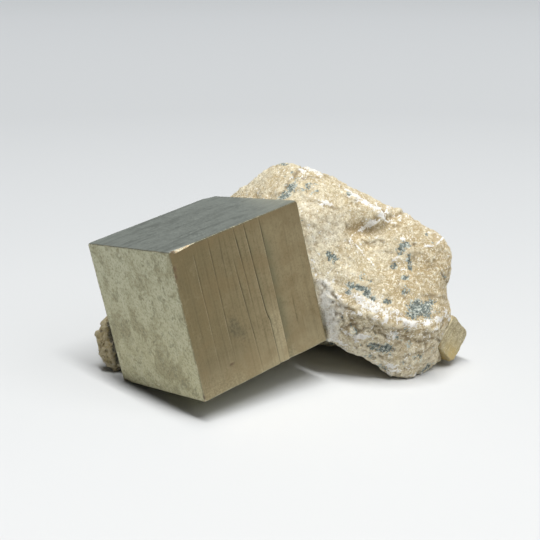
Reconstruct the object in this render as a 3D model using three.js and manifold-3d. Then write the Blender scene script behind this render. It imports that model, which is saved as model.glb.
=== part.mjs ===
// Pyrite specimen: one large cubic pyrite crystal standing in a broken piece of
// pale marl, with a second small crystal showing at the marl's right-hand end.
// Millimetres, +Z up, X along the specimen, -Y towards its display side.
// The origin is the middle of the bounding box at the resting surface.
import * as THREE from 'three';
import { ImprovedNoise } from 'three/addons/math/ImprovedNoise.js';
import { ConvexHull } from 'three/addons/math/ConvexHull.js';
import { mergeVertices } from 'three/addons/utils/BufferGeometryUtils.js';
import Module from 'manifold-3d';

// ---- driving dimensions -------------------------------------------------
const CUBE_DEPTH = 24.8;        // crystal edge running back to the left
const CUBE_WIDTH = 28.0;        // crystal edge along the striated face
const CUBE_HEIGHT = 26.2;       // crystal edge running down
const CONTACT_GAP = 0.3;        // clearance between a crystal and its socket
const SMALL_EDGE = [6.6, 6.8, 7.0]; // small crystal: down the face, up it, into the rock
const ROCK_CENTRE = [31, 12.5, 14.5]; // the rock's surface is seen whole from here
const ROCK_EDGE = 2.6;          // longest edge of the rock's facets
const ROCK_RELAX = 1;           // passes that ease the edges between stations
const ROCK_ROUGHNESS = 0.5;     // height of the coarse fracture relief

// Crystal axes: directions of its width, depth and height edges. The crystal
// leans so that its lower left edge touches the surface and the front hangs
// just clear of it.
const CUBE_X = new THREE.Vector3(0.7441, 0.6512, 0.1495).normalize();
const CUBE_Z = new THREE.Vector3(-0.2113, 0.0171, 0.9773);
CUBE_Z.addScaledVector(CUBE_X, -CUBE_Z.dot(CUBE_X)).normalize();
const CUBE_Y = new THREE.Vector3().crossVectors(CUBE_Z, CUBE_X).normalize();
// Lower front corner of the crystal.
const CUBE_CORNER = new THREE.Vector3(15.72, -18.82, 3.73);

// Growth steps on the striated face: [distance from the front edge, inset].
const GROWTH_STEPS = [
  [0.00, 0.00], [5.55, 0.00], [5.65, 0.09], [8.60, 0.03], [8.70, 0.12],
  [13.70, 0.04], [13.82, 0.15], [16.40, 0.07], [16.55, 0.30], [19.35, 0.12],
  [19.50, 0.42], [21.20, 0.22], [23.60, 0.10], [28.00, 0.06],
];

// Stations on the rock's outside: crest, broad upper face, ridge, lower face,
// left lobe, back and base. Those inside the crystal only close the form.
const ROCK_STATIONS = [
  [18.8, 16, 30.2], [23.3, 15.5, 33.5], [26.4, 15, 36.1], [28.4, 14.5, 37.2], [30.6, 13.5, 37.6], [32.1, 13, 36.7],
  [35, 12.5, 35.9], [38.4, 12, 34.8], [41.2, 12, 32.9], [43.4, 12.5, 31.7], [45.5, 12.5, 30.2], [49.5, 12, 30],
  [51, 12, 28.7], [53.1, 11.5, 27.6], [54.6, 11, 26.2], [57.3, 10.5, 24.7], [59.2, 10, 23], [60.2, 9.5, 21.2],
  [59.9, 9, 19.9], [59.5, 9, 17.9], [59.2, 8.5, 16.2], [58.8, 8, 13.6], [59.6, 7.5, 12.3], [59.9, 7.5, 10.1],
  [60, 9, 8], [59.3, 9.5, 5.9], [59.2, 9.5, 2.7], [59, 10, 0.7], [59.8, 6.2, 9.8], [58.6, 5.2, 8.4],
  [57.6, 4, 7.5], [57.4, 3.9, 5.2], [57.5, 4.8, 2.7], [57.2, 6.2, 0.9], [55.3, 4.5, -0.1], [52.7, 2.5, -0.4],
  [51, 1.3, -0.1], [49.5, 1, 0.3], [47.4, 0.6, 1.4], [45.7, 0.5, 2.7], [43.7, 0.4, 3.7], [41.3, 0.4, 4.7],
  [38.8, 0.4, 6.4], [36.8, 0.6, 7.6], [21.9, 12.6, 31.8], [25, 9.5, 33.1], [27.9, 8, 33.8], [30, 9, 35],
  [29.1, 4.5, 33.2], [32.4, 10, 35.2], [34, 9.6, 35.4], [36.5, 9.6, 35.2], [31.7, 5, 33.8], [34.6, 5.6, 34],
  [37.6, 6.6, 33.4], [40.2, 8.2, 32.3], [32.4, 1.6, 30.4], [35.6, 2.6, 30.7], [39.2, 4.8, 30.2], [43, 8.2, 30.4],
  [46.9, 7.7, 28.7], [41.1, 6.6, 30.8], [44, 6.7, 29.5], [41.9, 6.6, 27.1], [47.4, 7.9, 26.4], [33.4, 0.8, 26.1],
  [36.6, 1.8, 25.9], [40.7, 4.2, 25.6], [45.2, 7.2, 25.5], [49.2, 8.2, 26.7], [52.7, 8.6, 26.2], [56.1, 7.6, 23.9],
  [34.9, 0.6, 21.8], [38.8, 1.2, 22], [43.2, 3, 21.5], [47.6, 4.6, 22.1], [51.6, 5.6, 22.6], [55.7, 6, 20.6],
  [40.5, 0, 18.7], [44.8, 0.8, 18], [49.2, 2, 18], [53.7, 3.6, 17.9], [56.8, 5, 17.1], [57.2, 4.2, 13.5],
  [53.2, 1.4, 14.5], [48.7, -0.6, 14.8], [44.4, -1.4, 15], [35.1, 0.3, 18.6], [37.5, -0.7, 16.6], [39.8, -1.6, 14.7],
  [43, -2.2, 13.3], [47.2, -2.4, 12.2], [51.3, -2.2, 11.4], [54.9, -0.6, 10.3], [57.7, 2.4, 8.1], [35.9, 0.6, 12.9],
  [37.1, 0.2, 10.4], [39.6, -0.9, 10.4], [42.8, -1.2, 9], [46.7, -1.4, 7.9], [51, -1.2, 7.1], [55.2, 0.8, 6.3],
  [39.9, -0.1, 7.3], [44, -0.4, 5.5], [48.3, -0.5, 3.8], [52, -0.2, 2.9], [55.1, 2, 3.2], [-4, 9, 8.4],
  [-4.9, 8.2, 7.7], [-6.4, 6.6, 6.1], [-5.8, 5.8, 4.9], [-5.5, 5, 3.2], [-4.3, 4.4, 1.8], [-3.2, 4, 0.7],
  [-1.8, 3.8, 0.3], [-3.8, 4.6, 4.9], [-2.5, 4, 4], [-3.2, 7.6, 5.8], [17, 2, 20], [13, 1, 12],
  [9, 3, 8], [22, 0, 22], [20, 2, 10], [26, 0, 15], [11, 6, 20], [14.5, 20.5, 27],
  [9, 19, 21.5], [4, 15, 16.5], [-0.5, 11.5, 12.2], [19, 22.5, 28], [25, 23, 31], [31, 22.5, 33],
  [38, 22.5, 30], [45, 21.5, 26.6], [52, 19, 23.5], [58, 15.5, 18], [10.5, 27.5, 20], [19, 30, 24],
  [29, 31, 26], [37, 30.5, 23], [46, 28.5, 19], [54, 24, 14.5], [59.5, 17.5, 11], [2, 23, 11.5],
  [11, 30, 12], [21, 32.5, 14], [31, 33, 14], [41, 32, 12.5], [50, 28.5, 9.5], [57.5, 20.5, 7],
  [-5, 13.5, 4.8], [-2.5, 19.5, 5], [4.5, 26.5, 4.5], [14, 31, 4.5], [25, 32.4, 4.5], [36, 32, 4],
  [46, 28.5, 3.5], [54.5, 21.5, 2.6], [58.5, 14, 2.6], [-3.4, 7.5, 0.4], [-2.2, 4.4, -0.4], [1, 12, -0.6],
  [0.5, 5, 0.6], [6, 18, -0.6], [13, 23.4, -0.6], [24, 25.2, -0.9], [34, 24.4, -0.9], [43, 21.5, -0.6],
  [50, 15.5, 0.6], [54, 10, 0.6], [10, 12, 2.4], [17, 17.5, 1.8], [26, 20.5, -0.8], [34, 20.5, -0.8],
  [41, 16, 1], [22, 15.5, 3.6], [28, 10.5, 6.8], [33, 5, 8.2], [37.5, 3.5, 6.8], [37, 9.5, 4.6],
  [43, 5, 4], [46.5, 9, 1.8], [50.5, 5, -0.8], [51, 2.4, -0.9], [53.5, 4.6, -0.3],
];

// Flat breaks on the rock's back and ends: [point on the plane, outward normal].
const ROCK_FRACTURES = [
  [[26, 28.0, 12], [0.12, 0.97, 0.20]],
  [[14, 26.0, 14], [-0.38, 0.90, 0.16]],
  [[3, 20.5, 8], [-0.74, 0.66, 0.06]],
  [[31, 21.5, 32], [0.02, 0.70, 0.72]],
  [[16, 23.5, 26], [-0.42, 0.66, 0.62]],
  [[46, 25.5, 12], [0.50, 0.86, 0.12]],
  [[50, 19.5, 23], [0.48, 0.52, 0.70]],
  [[57, 17.0, 8], [0.88, 0.46, -0.02]],
  [[30, 27.5, 3.5], [0.10, 0.80, -0.60]],
  [[8, 24.0, 3.5], [-0.45, 0.68, -0.58]],
];

// ---- helpers ------------------------------------------------------------
const wasm = await Module();
wasm.setup();

function toSolid(geometry) {
  const g = geometry.clone();
  for (const name of Object.keys(g.attributes)) {
    if (name !== 'position') g.deleteAttribute(name);
  }
  const merged = mergeVertices(g, 1e-4);
  const solid = new wasm.Manifold(new wasm.Mesh({
    numProp: 3,
    vertProperties: new Float32Array(merged.attributes.position.array),
    triVerts: new Uint32Array(merged.index.array),
  }));
  return solid;
}

function toGeometry(solid) {
  const mesh = solid.getMesh();
  const g = new THREE.BufferGeometry();
  g.setAttribute('position', new THREE.BufferAttribute(new Float32Array(mesh.vertProperties), 3));
  g.setIndex(new THREE.BufferAttribute(new Uint32Array(mesh.triVerts), 1));
  g.computeVertexNormals();
  return g;
}

function largestBody(solid) {
  let best = null;
  for (const body of solid.decompose()) {
    if (best === null || body.volume() > best.volume()) best = body;
  }
  return best;
}

const perlin = new ImprovedNoise();
function fractal(x, y, z, wavelength, octaves) {
  let sum = 0, amp = 1, total = 0, f = 1 / wavelength;
  for (let i = 0; i < octaves; i++) {
    sum += amp * perlin.noise(x * f + 17.3 * i, y * f + 5.1 * i, z * f + 9.7 * i);
    total += amp;
    amp *= 0.55;
    f *= 2.03;
  }
  return sum / total;
}

// ---- main crystal -------------------------------------------------------
// Frame of the crystal: x along the width, y along the depth, z up its height.
const cubeFrame = new THREE.Matrix4().makeBasis(CUBE_X, CUBE_Y, CUBE_Z).setPosition(CUBE_CORNER);

function cubeBody(grow) {
  const outline = new THREE.Shape();
  if (grow > 0) {
    outline.moveTo(-grow, -grow);
    outline.lineTo(CUBE_WIDTH + grow, -grow);
  } else {
    outline.moveTo(GROWTH_STEPS[0][0], GROWTH_STEPS[0][1]);
    for (const [x, inset] of GROWTH_STEPS.slice(1)) outline.lineTo(x, inset);
  }
  outline.lineTo(CUBE_WIDTH + grow, CUBE_DEPTH + grow);
  outline.lineTo(-grow, CUBE_DEPTH + grow);
  outline.closePath();
  const g = new THREE.ExtrudeGeometry(outline, {
    depth: CUBE_HEIGHT + 2 * grow, bevelEnabled: false, steps: 1,
  });
  g.translate(0, 0, -grow);
  return toSolid(g);
}

// A small conchoidal chip: a rough ball that is taken out of an edge.
function chip(x, y, z, rx, ry, rz) {
  const g = new THREE.IcosahedronGeometry(1, 1);
  const p = g.attributes.position;
  for (let i = 0; i < p.count; i++) {
    const k = 1 + 0.35 * perlin.noise(p.getX(i) * 1.7 + x, p.getY(i) * 1.7 + y, p.getZ(i) * 1.7 + z);
    p.setXYZ(i, x + rx * k * p.getX(i), y + ry * k * p.getY(i), z + rz * k * p.getZ(i));
  }
  return toSolid(g);
}

function slab(corners) { // convex solid round a list of points
  const g = new THREE.BufferGeometry();
  const hull = new ConvexHull().setFromPoints(corners.map((c) => new THREE.Vector3(...c)));
  const pos = [];
  for (const face of hull.faces) {
    let edge = face.edge;
    do {
      const v = edge.head().point;
      pos.push(v.x, v.y, v.z);
      edge = edge.next;
    } while (edge !== face.edge);
  }
  g.setAttribute('position', new THREE.BufferAttribute(new Float32Array(pos), 3));
  return toSolid(g);
}

const W = CUBE_WIDTH, D = CUBE_DEPTH, H = CUBE_HEIGHT;
const cubeCuts = [
  // worn back top corner
  slab([[-0.9, D + 1.5, H + 0.6], [-0.9, D - 0.5, H + 2.0], [W, D + 2, H + 2],
    [W - 3.4, D + 0.02, H + 0.02], [W + 0.4, D - 2.4, H + 0.3], [W + 0.4, D + 0.4, H - 2.6], [W + 2, D + 2, H + 2]]
    .slice(2)),
  // chip along the front top edge next to the front corner
  chip(0.55, -0.1, H + 0.15, 0.75, 0.55, 0.6),
  chip(2.1, -0.15, H + 0.2, 1.3, 0.42, 0.45),
  // nick on the front upright edge
  chip(-0.15, -0.1, H - 2.6, 0.35, 0.4, 0.9),
  // lower front corner
  chip(-0.05, -0.1, -0.1, 0.5, 0.6, 0.75),
  // bruised lower left edge
  chip(-0.1, D - 2.3, -0.15, 0.4, 1.6, 0.4),
  chip(-0.12, D - 6.5, -0.16, 0.35, 1.2, 0.34),
  // rounded far top corner of the striated face
  chip(W + 0.35, -0.35, H + 0.35, 0.95, 0.95, 0.95),
];
let cubeSolid = cubeBody(0);
for (const cut of cubeCuts) cubeSolid = cubeSolid.subtract(cut);
const cubeGeometry = toGeometry(largestBody(cubeSolid));
cubeGeometry.applyMatrix4(cubeFrame);

// ---- small crystal ------------------------------------------------------
// A stubby block, one face showing at the rock's right-hand end with a corner
// pointing out and the rest of it buried.
const SMALL_CORNER = [63.7, 10.3, 5.3];
const smallDown = new THREE.Vector3(-3.1, -3.26, -4.5).normalize();
const smallUp = new THREE.Vector3(-3.1, -3.26, 4.5);
smallUp.addScaledVector(smallDown, -smallUp.dot(smallDown)).normalize();
const smallIn = new THREE.Vector3().crossVectors(smallDown, smallUp).normalize();
const smallFrame = new THREE.Matrix4().makeBasis(smallDown, smallUp, smallIn)
  .setPosition(new THREE.Vector3(...SMALL_CORNER));

function smallBody(grow) { // x down the face, y up the face, z into the rock
  const [down, up, deep] = SMALL_EDGE;
  const g = new THREE.BoxGeometry(down + 2 * grow, up + 2 * grow, deep + 2 * grow);
  g.translate(down / 2, up / 2, deep / 2);
  return toSolid(g);
}
let smallSolid = smallBody(0);
for (const cut of [
  chip(-0.1, -0.1, 3.0, 0.9, 0.7, 2.6), chip(3.9, -0.15, 0.3, 0.75, 0.5, 0.9),
  chip(-0.2, 1.6, -0.1, 0.45, 1.5, 0.4), chip(6.9, 0.2, 0.3, 0.6, 1.1, 1.2),
]) smallSolid = smallSolid.subtract(cut);
const smallGeometry = toGeometry(largestBody(smallSolid));
smallGeometry.applyMatrix4(smallFrame);

// ---- rock ---------------------------------------------------------------
// The stations, joined by flat triangles round the rock's centre.
const centre = new THREE.Vector3(...ROCK_CENTRE);
const stationVectors = ROCK_STATIONS.map((s) => new THREE.Vector3(...s).sub(centre));
const directions = stationVectors.map((v) => v.clone().normalize());
const hull = new ConvexHull().setFromPoints(directions);
const facets = [];
for (const face of hull.faces) {
  const ids = [];
  let edge = face.edge;
  do {
    ids.push(directions.indexOf(edge.head().point));
    edge = edge.next;
  } while (edge !== face.edge);
  for (let i = 1; i + 1 < ids.length; i++) facets.push([ids[0], ids[i], ids[i + 1]]);
}
// Split every edge longer than ROCK_EDGE until none is left, then roughen.
let points = stationVectors.map((v) => v.clone().add(centre));
let triangles = facets;
for (let pass = 0; pass < 8; pass++) {
  const middles = new Map();
  const middle = (a, b) => {
    if (points[a].distanceTo(points[b]) <= ROCK_EDGE) return -1;
    const key = a < b ? `${a}_${b}` : `${b}_${a}`;
    if (!middles.has(key)) {
      points.push(points[a].clone().lerp(points[b], 0.5));
      middles.set(key, points.length - 1);
    }
    return middles.get(key);
  };
  const next = [];
  for (const [a, b, c] of triangles) {
    const ab = middle(a, b), bc = middle(b, c), ca = middle(c, a);
    const n = (ab >= 0) + (bc >= 0) + (ca >= 0);
    if (n === 0) next.push([a, b, c]);
    else if (n === 3) next.push([a, ab, ca], [ab, b, bc], [ca, bc, c], [ab, bc, ca]);
    else {
      // turn the triangle so that the first edge is split, and with two the second as well
      let t = [a, b, c, ab, bc, ca];
      while (!(t[3] >= 0 && (n === 1 || t[4] >= 0))) t = [t[1], t[2], t[0], t[4], t[5], t[3]];
      const [p, q, r, pq, qr] = t;
      if (n === 1) next.push([p, pq, r], [pq, q, r]);
      else next.push([pq, q, qr], [p, pq, qr], [p, qr, r]);
    }
  }
  triangles = next;
  if (middles.size === 0) break;
}
{
  const near = points.map(() => new Set());
  for (const [a, b, c] of triangles) {
    near[a].add(b).add(c);
    near[b].add(a).add(c);
    near[c].add(a).add(b);
  }
  for (let pass = 0; pass < ROCK_RELAX; pass++) {
    points = points.map((p, i) => {
      const mean = new THREE.Vector3();
      for (const j of near[i]) mean.add(points[j]);
      mean.divideScalar(near[i].size);
      return p.clone().lerp(mean, 0.3);
    });
  }
}
// Flatten what lies outside each fracture plane onto it, towards the centre.
for (const [at, normal] of ROCK_FRACTURES) {
  const n = new THREE.Vector3(...normal).normalize();
  const limit = n.dot(new THREE.Vector3(...at).sub(centre));
  for (const p of points) {
    const d = p.clone().sub(centre);
    const reach = n.dot(d);
    if (reach > limit) p.copy(centre).addScaledVector(d, limit / reach);
  }
}
const rockGeometry = new THREE.BufferGeometry();
rockGeometry.setAttribute('position', new THREE.BufferAttribute(new Float32Array(points.flatMap((p) => p.toArray())), 3));
rockGeometry.setIndex(triangles.flat());
rockGeometry.computeVertexNormals();
{
  const p = rockGeometry.attributes.position, n = rockGeometry.attributes.normal;
  const v = new THREE.Vector3(), dir = new THREE.Vector3();
  for (let i = 0; i < p.count; i++) {
    v.fromBufferAttribute(p, i);
    dir.fromBufferAttribute(n, i);
    const relief = ROCK_ROUGHNESS * (1.6 * fractal(v.x, v.y, v.z, 5.5, 3)
      + 0.6 * (0.45 - 2.2 * Math.abs(fractal(v.x + 40, v.y, v.z, 9, 2))));
    v.addScaledVector(dir, relief + 0.1);
    p.setXYZ(i, v.x, v.y, v.z);
  }
}
let rockSolid = toSolid(rockGeometry);

// Worn contact patches: everything under the resting plane is gone.
const under = new THREE.BoxGeometry(200, 200, 40);
under.translate(0, 0, -20);
rockSolid = rockSolid.subtract(toSolid(under));
// Sockets that hold the two crystals.
const cubeSocket = cubeBody(CONTACT_GAP).transform(cubeFrame.elements);
const smallSocket = smallBody(CONTACT_GAP).transform(smallFrame.elements);
rockSolid = rockSolid.subtract(cubeSocket).subtract(smallSocket);
const finalRock = toGeometry(largestBody(rockSolid));

// ---- scene graph --------------------------------------------------------
const specimen = new THREE.Group();
const pieces = [
  ['pyrite_cube', cubeGeometry, new THREE.MeshStandardMaterial({ color: 0x8a8164, roughness: 0.42, metalness: 0.9 })],
  ['matrix_rock', finalRock, new THREE.MeshStandardMaterial({ color: 0xcdbf9c, roughness: 0.95, metalness: 0.0 })],
  ['small_pyrite_crystal', smallGeometry, new THREE.MeshStandardMaterial({ color: 0xa79d7a, roughness: 0.6, metalness: 0.6 })],
];
const bounds = new THREE.Box3();
for (const [, g] of pieces) {
  g.computeBoundingBox();
  bounds.union(g.boundingBox);
}
for (const [name, geometry, material] of pieces) {
  const mesh = new THREE.Mesh(geometry, material);
  mesh.name = name;
  specimen.add(mesh);
}
specimen.position.set(
  -(bounds.min.x + bounds.max.x) / 2,
  -(bounds.min.y + bounds.max.y) / 2,
  -bounds.min.z,
);
specimen.updateMatrixWorld(true);

export default specimen;
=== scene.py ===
# Pyrite specimen: the looks of a cubic pyrite crystal in pale marl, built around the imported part.
import math

import bpy
import numpy as np
from mathutils import Matrix, Vector


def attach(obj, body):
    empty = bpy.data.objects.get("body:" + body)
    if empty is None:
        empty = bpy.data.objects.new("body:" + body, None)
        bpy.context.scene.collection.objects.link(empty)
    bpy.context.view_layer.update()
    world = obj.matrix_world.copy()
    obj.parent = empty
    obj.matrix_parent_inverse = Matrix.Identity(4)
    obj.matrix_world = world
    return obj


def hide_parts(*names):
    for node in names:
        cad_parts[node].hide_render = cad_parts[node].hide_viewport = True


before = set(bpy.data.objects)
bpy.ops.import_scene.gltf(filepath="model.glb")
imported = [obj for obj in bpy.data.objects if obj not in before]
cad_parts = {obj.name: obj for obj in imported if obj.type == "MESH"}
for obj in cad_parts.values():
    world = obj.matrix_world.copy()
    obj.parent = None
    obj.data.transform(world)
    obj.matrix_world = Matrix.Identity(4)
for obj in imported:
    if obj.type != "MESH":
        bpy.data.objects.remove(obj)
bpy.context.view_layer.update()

MM = 0.001

# ------------------------------------------------------------------ crystal axes, part frame, mm
SHIFT = np.array([-28.73831, -5.62744, 0.0])
CUBE_DIMS = np.array([28.0, 24.8, 26.2])
CUBE_ORIGIN = np.array([15.72, -18.82, 3.73]) + SHIFT


def unit(v):
    v = np.asarray(v, float)
    return v / np.linalg.norm(v)


CX = unit([0.7441, 0.6512, 0.1495])
CZ = np.array([-0.2113, 0.0171, 0.9773])
CZ = unit(CZ - CX * (CZ @ CX))
CY = np.cross(CZ, CX)
SMALL_DIMS = np.array([6.6, 6.8, 7.0])
SMALL_ORIGIN = np.array([63.7, 10.3, 5.3]) + SHIFT
SX = unit([-3.1, -3.26, -4.5])
SY = np.array([-3.1, -3.26, 4.5])
SY = unit(SY - SX * (SX @ SY))
SZ = np.cross(SX, SY)

# Directions of the display side, used to lay the rock's patches and cracks on its surface.
TILT = math.radians(17)
RIGHT = np.array([1.0, 0.0, 0.0])
UPWARD = np.array([0.0, math.sin(TILT), math.cos(TILT)])
INWARD = np.array([0.0, math.cos(TILT), -math.sin(TILT)])

# ------------------------------------------------------------------ where things lie on the rock, mm
# Patches: centre, half width, half height, turn in degrees, strength.
# Lines: points, width, strength.
GREY = [
    (-0.4, -0.9, 32.7, 1.06, 0.53, 20, 0.9), (1.6, 1.5, 34.4, 0.89, 0.89, 40, 0.8), (2.4, 3.6, 35.3, 0.72, 0.54, 30, 0.7),
    (5.5, 1.2, 34.8, 0.89, 0.44, 0, 0.5), (7, 2.2, 35.1, 0.71, 0.36, 0, 0.45), (23.4, -6.5, 12.3, 1.06, 0.53, 0, 0.7),
    (27.9, -3, 12.2, 0.72, 0.54, 0, 0.6), (11.6, -6.4, 17.1, 0.7, 0.53, 0, 0.8), (10.6, -5.2, 6, 0.54, 0.36, 0, 0.5),
    (27.2, -3.6, 5.1, 0.54, 0.91, 0, 0.4), (4.1, 1.3, 34.8, 0.71, 0.44, -10, 0.55), (21.6, 0, 23.5, 1.44, 0.81, 35, 1),
    (21, -0.4, 22.6, 0.72, 0.54, 0, 1), (22.7, -1.2, 21, 0.54, 1.43, 5, 1), (19.8, -1.6, 20.4, 0.72, 0.63, 0, 1),
    (21.8, -2.9, 18.7, 0.89, 0.54, 0, 0.8), (21.8, -4.2, 16.7, 0.71, 0.89, 0, 0.8), (12, -6, 18.1, 1.23, 0.7, -10, 1),
    (13.7, -6, 17.7, 1.59, 0.62, -12, 1), (14.8, -6.1, 16.6, 0.88, 0.71, -30, 1), (15.9, -6.2, 15.8, 0.79, 0.44, -35, 0.9),
    (14, -4.8, 19.5, 0.88, 0.71, 20, 0.6), (15.4, -4.8, 18.6, 0.62, 0.53, 0, 0.7), (18.5, -6.1, 15.3, 0.8, 0.62, 0, 0.9),
    (24.6, -5, 13.4, 2.67, 1.6, -5, 1), (26.4, -3.2, 13.9, 1.26, 0.72, 10, 0.9), (22.8, -6.5, 12.8, 1.24, 0.71, -15, 0.9),
    (29.6, 1.3, 17.4, 0.55, 0.36, 0, 0.8), (8.9, -4.5, 22.8, 0.97, 0.88, 0, 1), (8.1, -4.5, 23.5, 0.62, 0.53, 0, 0.8),
    (1.3, 1.3, 34, 1.42, 0.71, 48, 1), (0.3, -0.6, 33.2, 1.59, 0.71, 35, 1), (3.7, 0.1, 34.1, 0.89, 0.53, 0, 0.7),
    (5.1, -0.7, 33.6, 0.71, 0.35, 0, 0.55), (0, 0.5, 33.5, 0.71, 0.36, 45, 0.8), (2.5, 1.9, 34.8, 0.89, 0.54, 30, 0.55),
    (3, -0.1, 34, 0.89, 0.71, 0, 0.4), (4.4, 0.6, 34.5, 0.62, 0.35, -20, 0.75), (6.2, -0.3, 34, 0.35, 0.25, 0, 0.7),
    (11.7, 3.2, 32.5, 0.54, 0.4, -30, 0.8), (26.2, 2.8, 25.1, 0.29, 0.29, 0, 0.9), (27.2, 1.7, 23.9, 0.36, 0.29, 0, 0.8),
    (12.9, -6.9, 10.1, 0.71, 0.62, 30, 0.7), (14.1, -6.3, 7.1, 0.36, 0.36, 0, 0.6), (16.1, -6.5, 6.8, 1.61, 0.71, -18, 0.9),
    (18.4, -6.7, 6.5, 1.43, 0.89, -8, 1), (20.2, -7.4, 8.6, 0.53, 0.62, 0, 0.7), (22.3, -6.8, 7.3, 0.71, 0.53, 0, 0.5),
    (24.4, -5.8, 4.4, 0.72, 1.26, -25, 0.55), (16, -6, 4.7, 0.72, 0.39, -20, 0.7), (21.4, -6.3, 3.6, 0.54, 0.36, 0, 0.5),
    (17.5, -5.2, 2.6, 0.72, 0.36, -20, 0.4), (21, -7.4, 12.7, 0.71, 0.44, 0, 0.5), (19.6, -7.8, 9.9, 0.53, 0.35, 0, 0.4),
    (0.2, 8.1, 37, 1.1, 0.4, -4, 0.85), (-1, 8.6, 36.6, 0.91, 0.29, 15, 0.4), (1.6, 4.8, 36, 0.45, 0.23, 35, 0.8),
    (0.4, 4.2, 35.4, 0.29, 0.18, 0, 0.5), (12.2, -6.9, 10.7, 0.53, 0.35, -30, 0.6), (10, -6.8, 14.6, 0.32, 0.21, 0, 0.5),
    (7.6, -5.8, 17.2, 0.44, 0.35, 0, 0.4),
]
WHITE = [
    (5.2, 7.1, 36.1, 1.27, 0.47, -16, 1), (3.7, 5.8, 36.1, 0.9, 0.54, -40, 0.7), (6.5, 5.1, 35.9, 0.9, 0.36, -25, 0.8),
    (3.5, 4.3, 35.5, 1.44, 0.54, 28, 0.45), (13.2, 3.5, 31.8, 1.26, 0.58, -25, 1), (15, 3.2, 30.8, 1.26, 0.54, -20, 1),
    (16.6, 2.7, 30, 1.08, 0.65, -10, 1), (17.4, 1.8, 29.1, 0.9, 0.54, -30, 0.8), (11.9, 4.1, 32.8, 0.72, 0.36, -30, 0.6),
    (19.2, 5, 29.4, 0.73, 0.55, 20, 0.7), (15.8, 1.2, 27.6, 1.08, 0.81, 35, 0.95), (14.6, 0.9, 26.8, 0.72, 0.45, 30, 0.7),
    (19.6, 3.4, 27.4, 0.91, 0.4, -10, 0.6), (21.1, 4.1, 27.8, 0.91, 0.55, -5, 0.7), (23.1, 5.5, 27.8, 0.73, 0.44, 0, 0.5),
    (21.8, 0.8, 24.6, 0.58, 0.32, -40, 0.8), (7.6, -1.7, 32, 1.15, 0.35, -18, 1), (6.8, -2.4, 31.7, 0.53, 0.32, -50, 0.9),
    (21, -1, 21, 0.72, 0.54, 0, 0.55), (20.3, -0.8, 21.6, 0.72, 0.36, 20, 0.6), (21.7, -1.8, 19.9, 0.54, 0.36, 0, 0.5),
    (13.9, -6.8, 8.8, 1.42, 0.46, 4, 1), (12.9, -6.2, 7.8, 0.71, 0.32, -25, 0.8), (19.3, -6.1, 3, 1.26, 0.43, -10, 1),
    (20.7, -5.8, 2.1, 0.72, 0.29, -10, 0.8), (10.2, -5.5, 7.2, 1.25, 0.43, -28, 0.95), (8.6, -5.1, 7.6, 0.9, 0.36, -20, 0.8),
    (11.2, -5.2, 5.7, 1.08, 0.27, -28, 0.7), (30.7, 0.3, 9.6, 0.64, 0.51, 0, 0.9), (30.6, 0.2, 9.5, 0.55, 0.37, -30, 0.7),
    (29.9, -0.5, 10.6, 0.55, 0.36, 0, 0.6), (16.4, -6.4, 15.2, 1.41, 0.62, -25, 0.65), (19.6, -7, 13.7, 1.59, 0.53, -20, 0.7),
    (22, -7.6, 11.7, 1.76, 0.53, -12, 0.75), (25.4, -5.9, 11.3, 1.42, 0.62, 0, 0.8), (27.9, -3.5, 11, 1.08, 0.72, 0, 0.85),
    (29.7, -0.6, 11.4, 0.73, 0.73, 0, 0.6), (13.5, -6.7, 16.1, 1.58, 0.88, -30, 0.75), (15.7, -7.1, 14.5, 1.76, 0.88, -25, 0.85),
    (11.8, -6.5, 16.9, 1.23, 0.7, -35, 0.6), (13.9, -7, 15.1, 1.41, 0.53, -30, 0.7), (18.1, -7.4, 13.3, 1.59, 0.7, -15, 0.8),
    (20.6, -7.6, 12.4, 1.41, 0.53, -10, 0.7), (10.7, -6.8, 15.7, 1.06, 0.53, -40, 0.4), (24.4, -4.2, 14.8, 1.07, 0.36, 0, 0.4),
    (26.3, -4.2, 12.6, 0.89, 0.36, -20, 0.6), (18.8, -6.6, 5.9, 0.89, 0.29, 0, 0.5), (5.1, -1.2, 33.2, 0.53, 0.26, 0, 0.4),
    (5.8, -4.5, 26, 0.35, 0.53, 0, 0.3), (4.5, -4.6, 28.1, 0.35, 1.05, 0, 0.35), (5.4, -5.3, 22.2, 0.44, 1.23, 0, 0.4),
    (6.1, -5.5, 19.9, 0.53, 0.7, -30, 0.4), (9.7, -5.2, 19.3, 1.24, 0.88, -30, 0.3), (11.8, -7.3, 13.7, 0.88, 0.53, 0, 0.4),
    (23.2, -5.9, 2.5, 0.9, 0.27, 0, 0.5),
]
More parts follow.
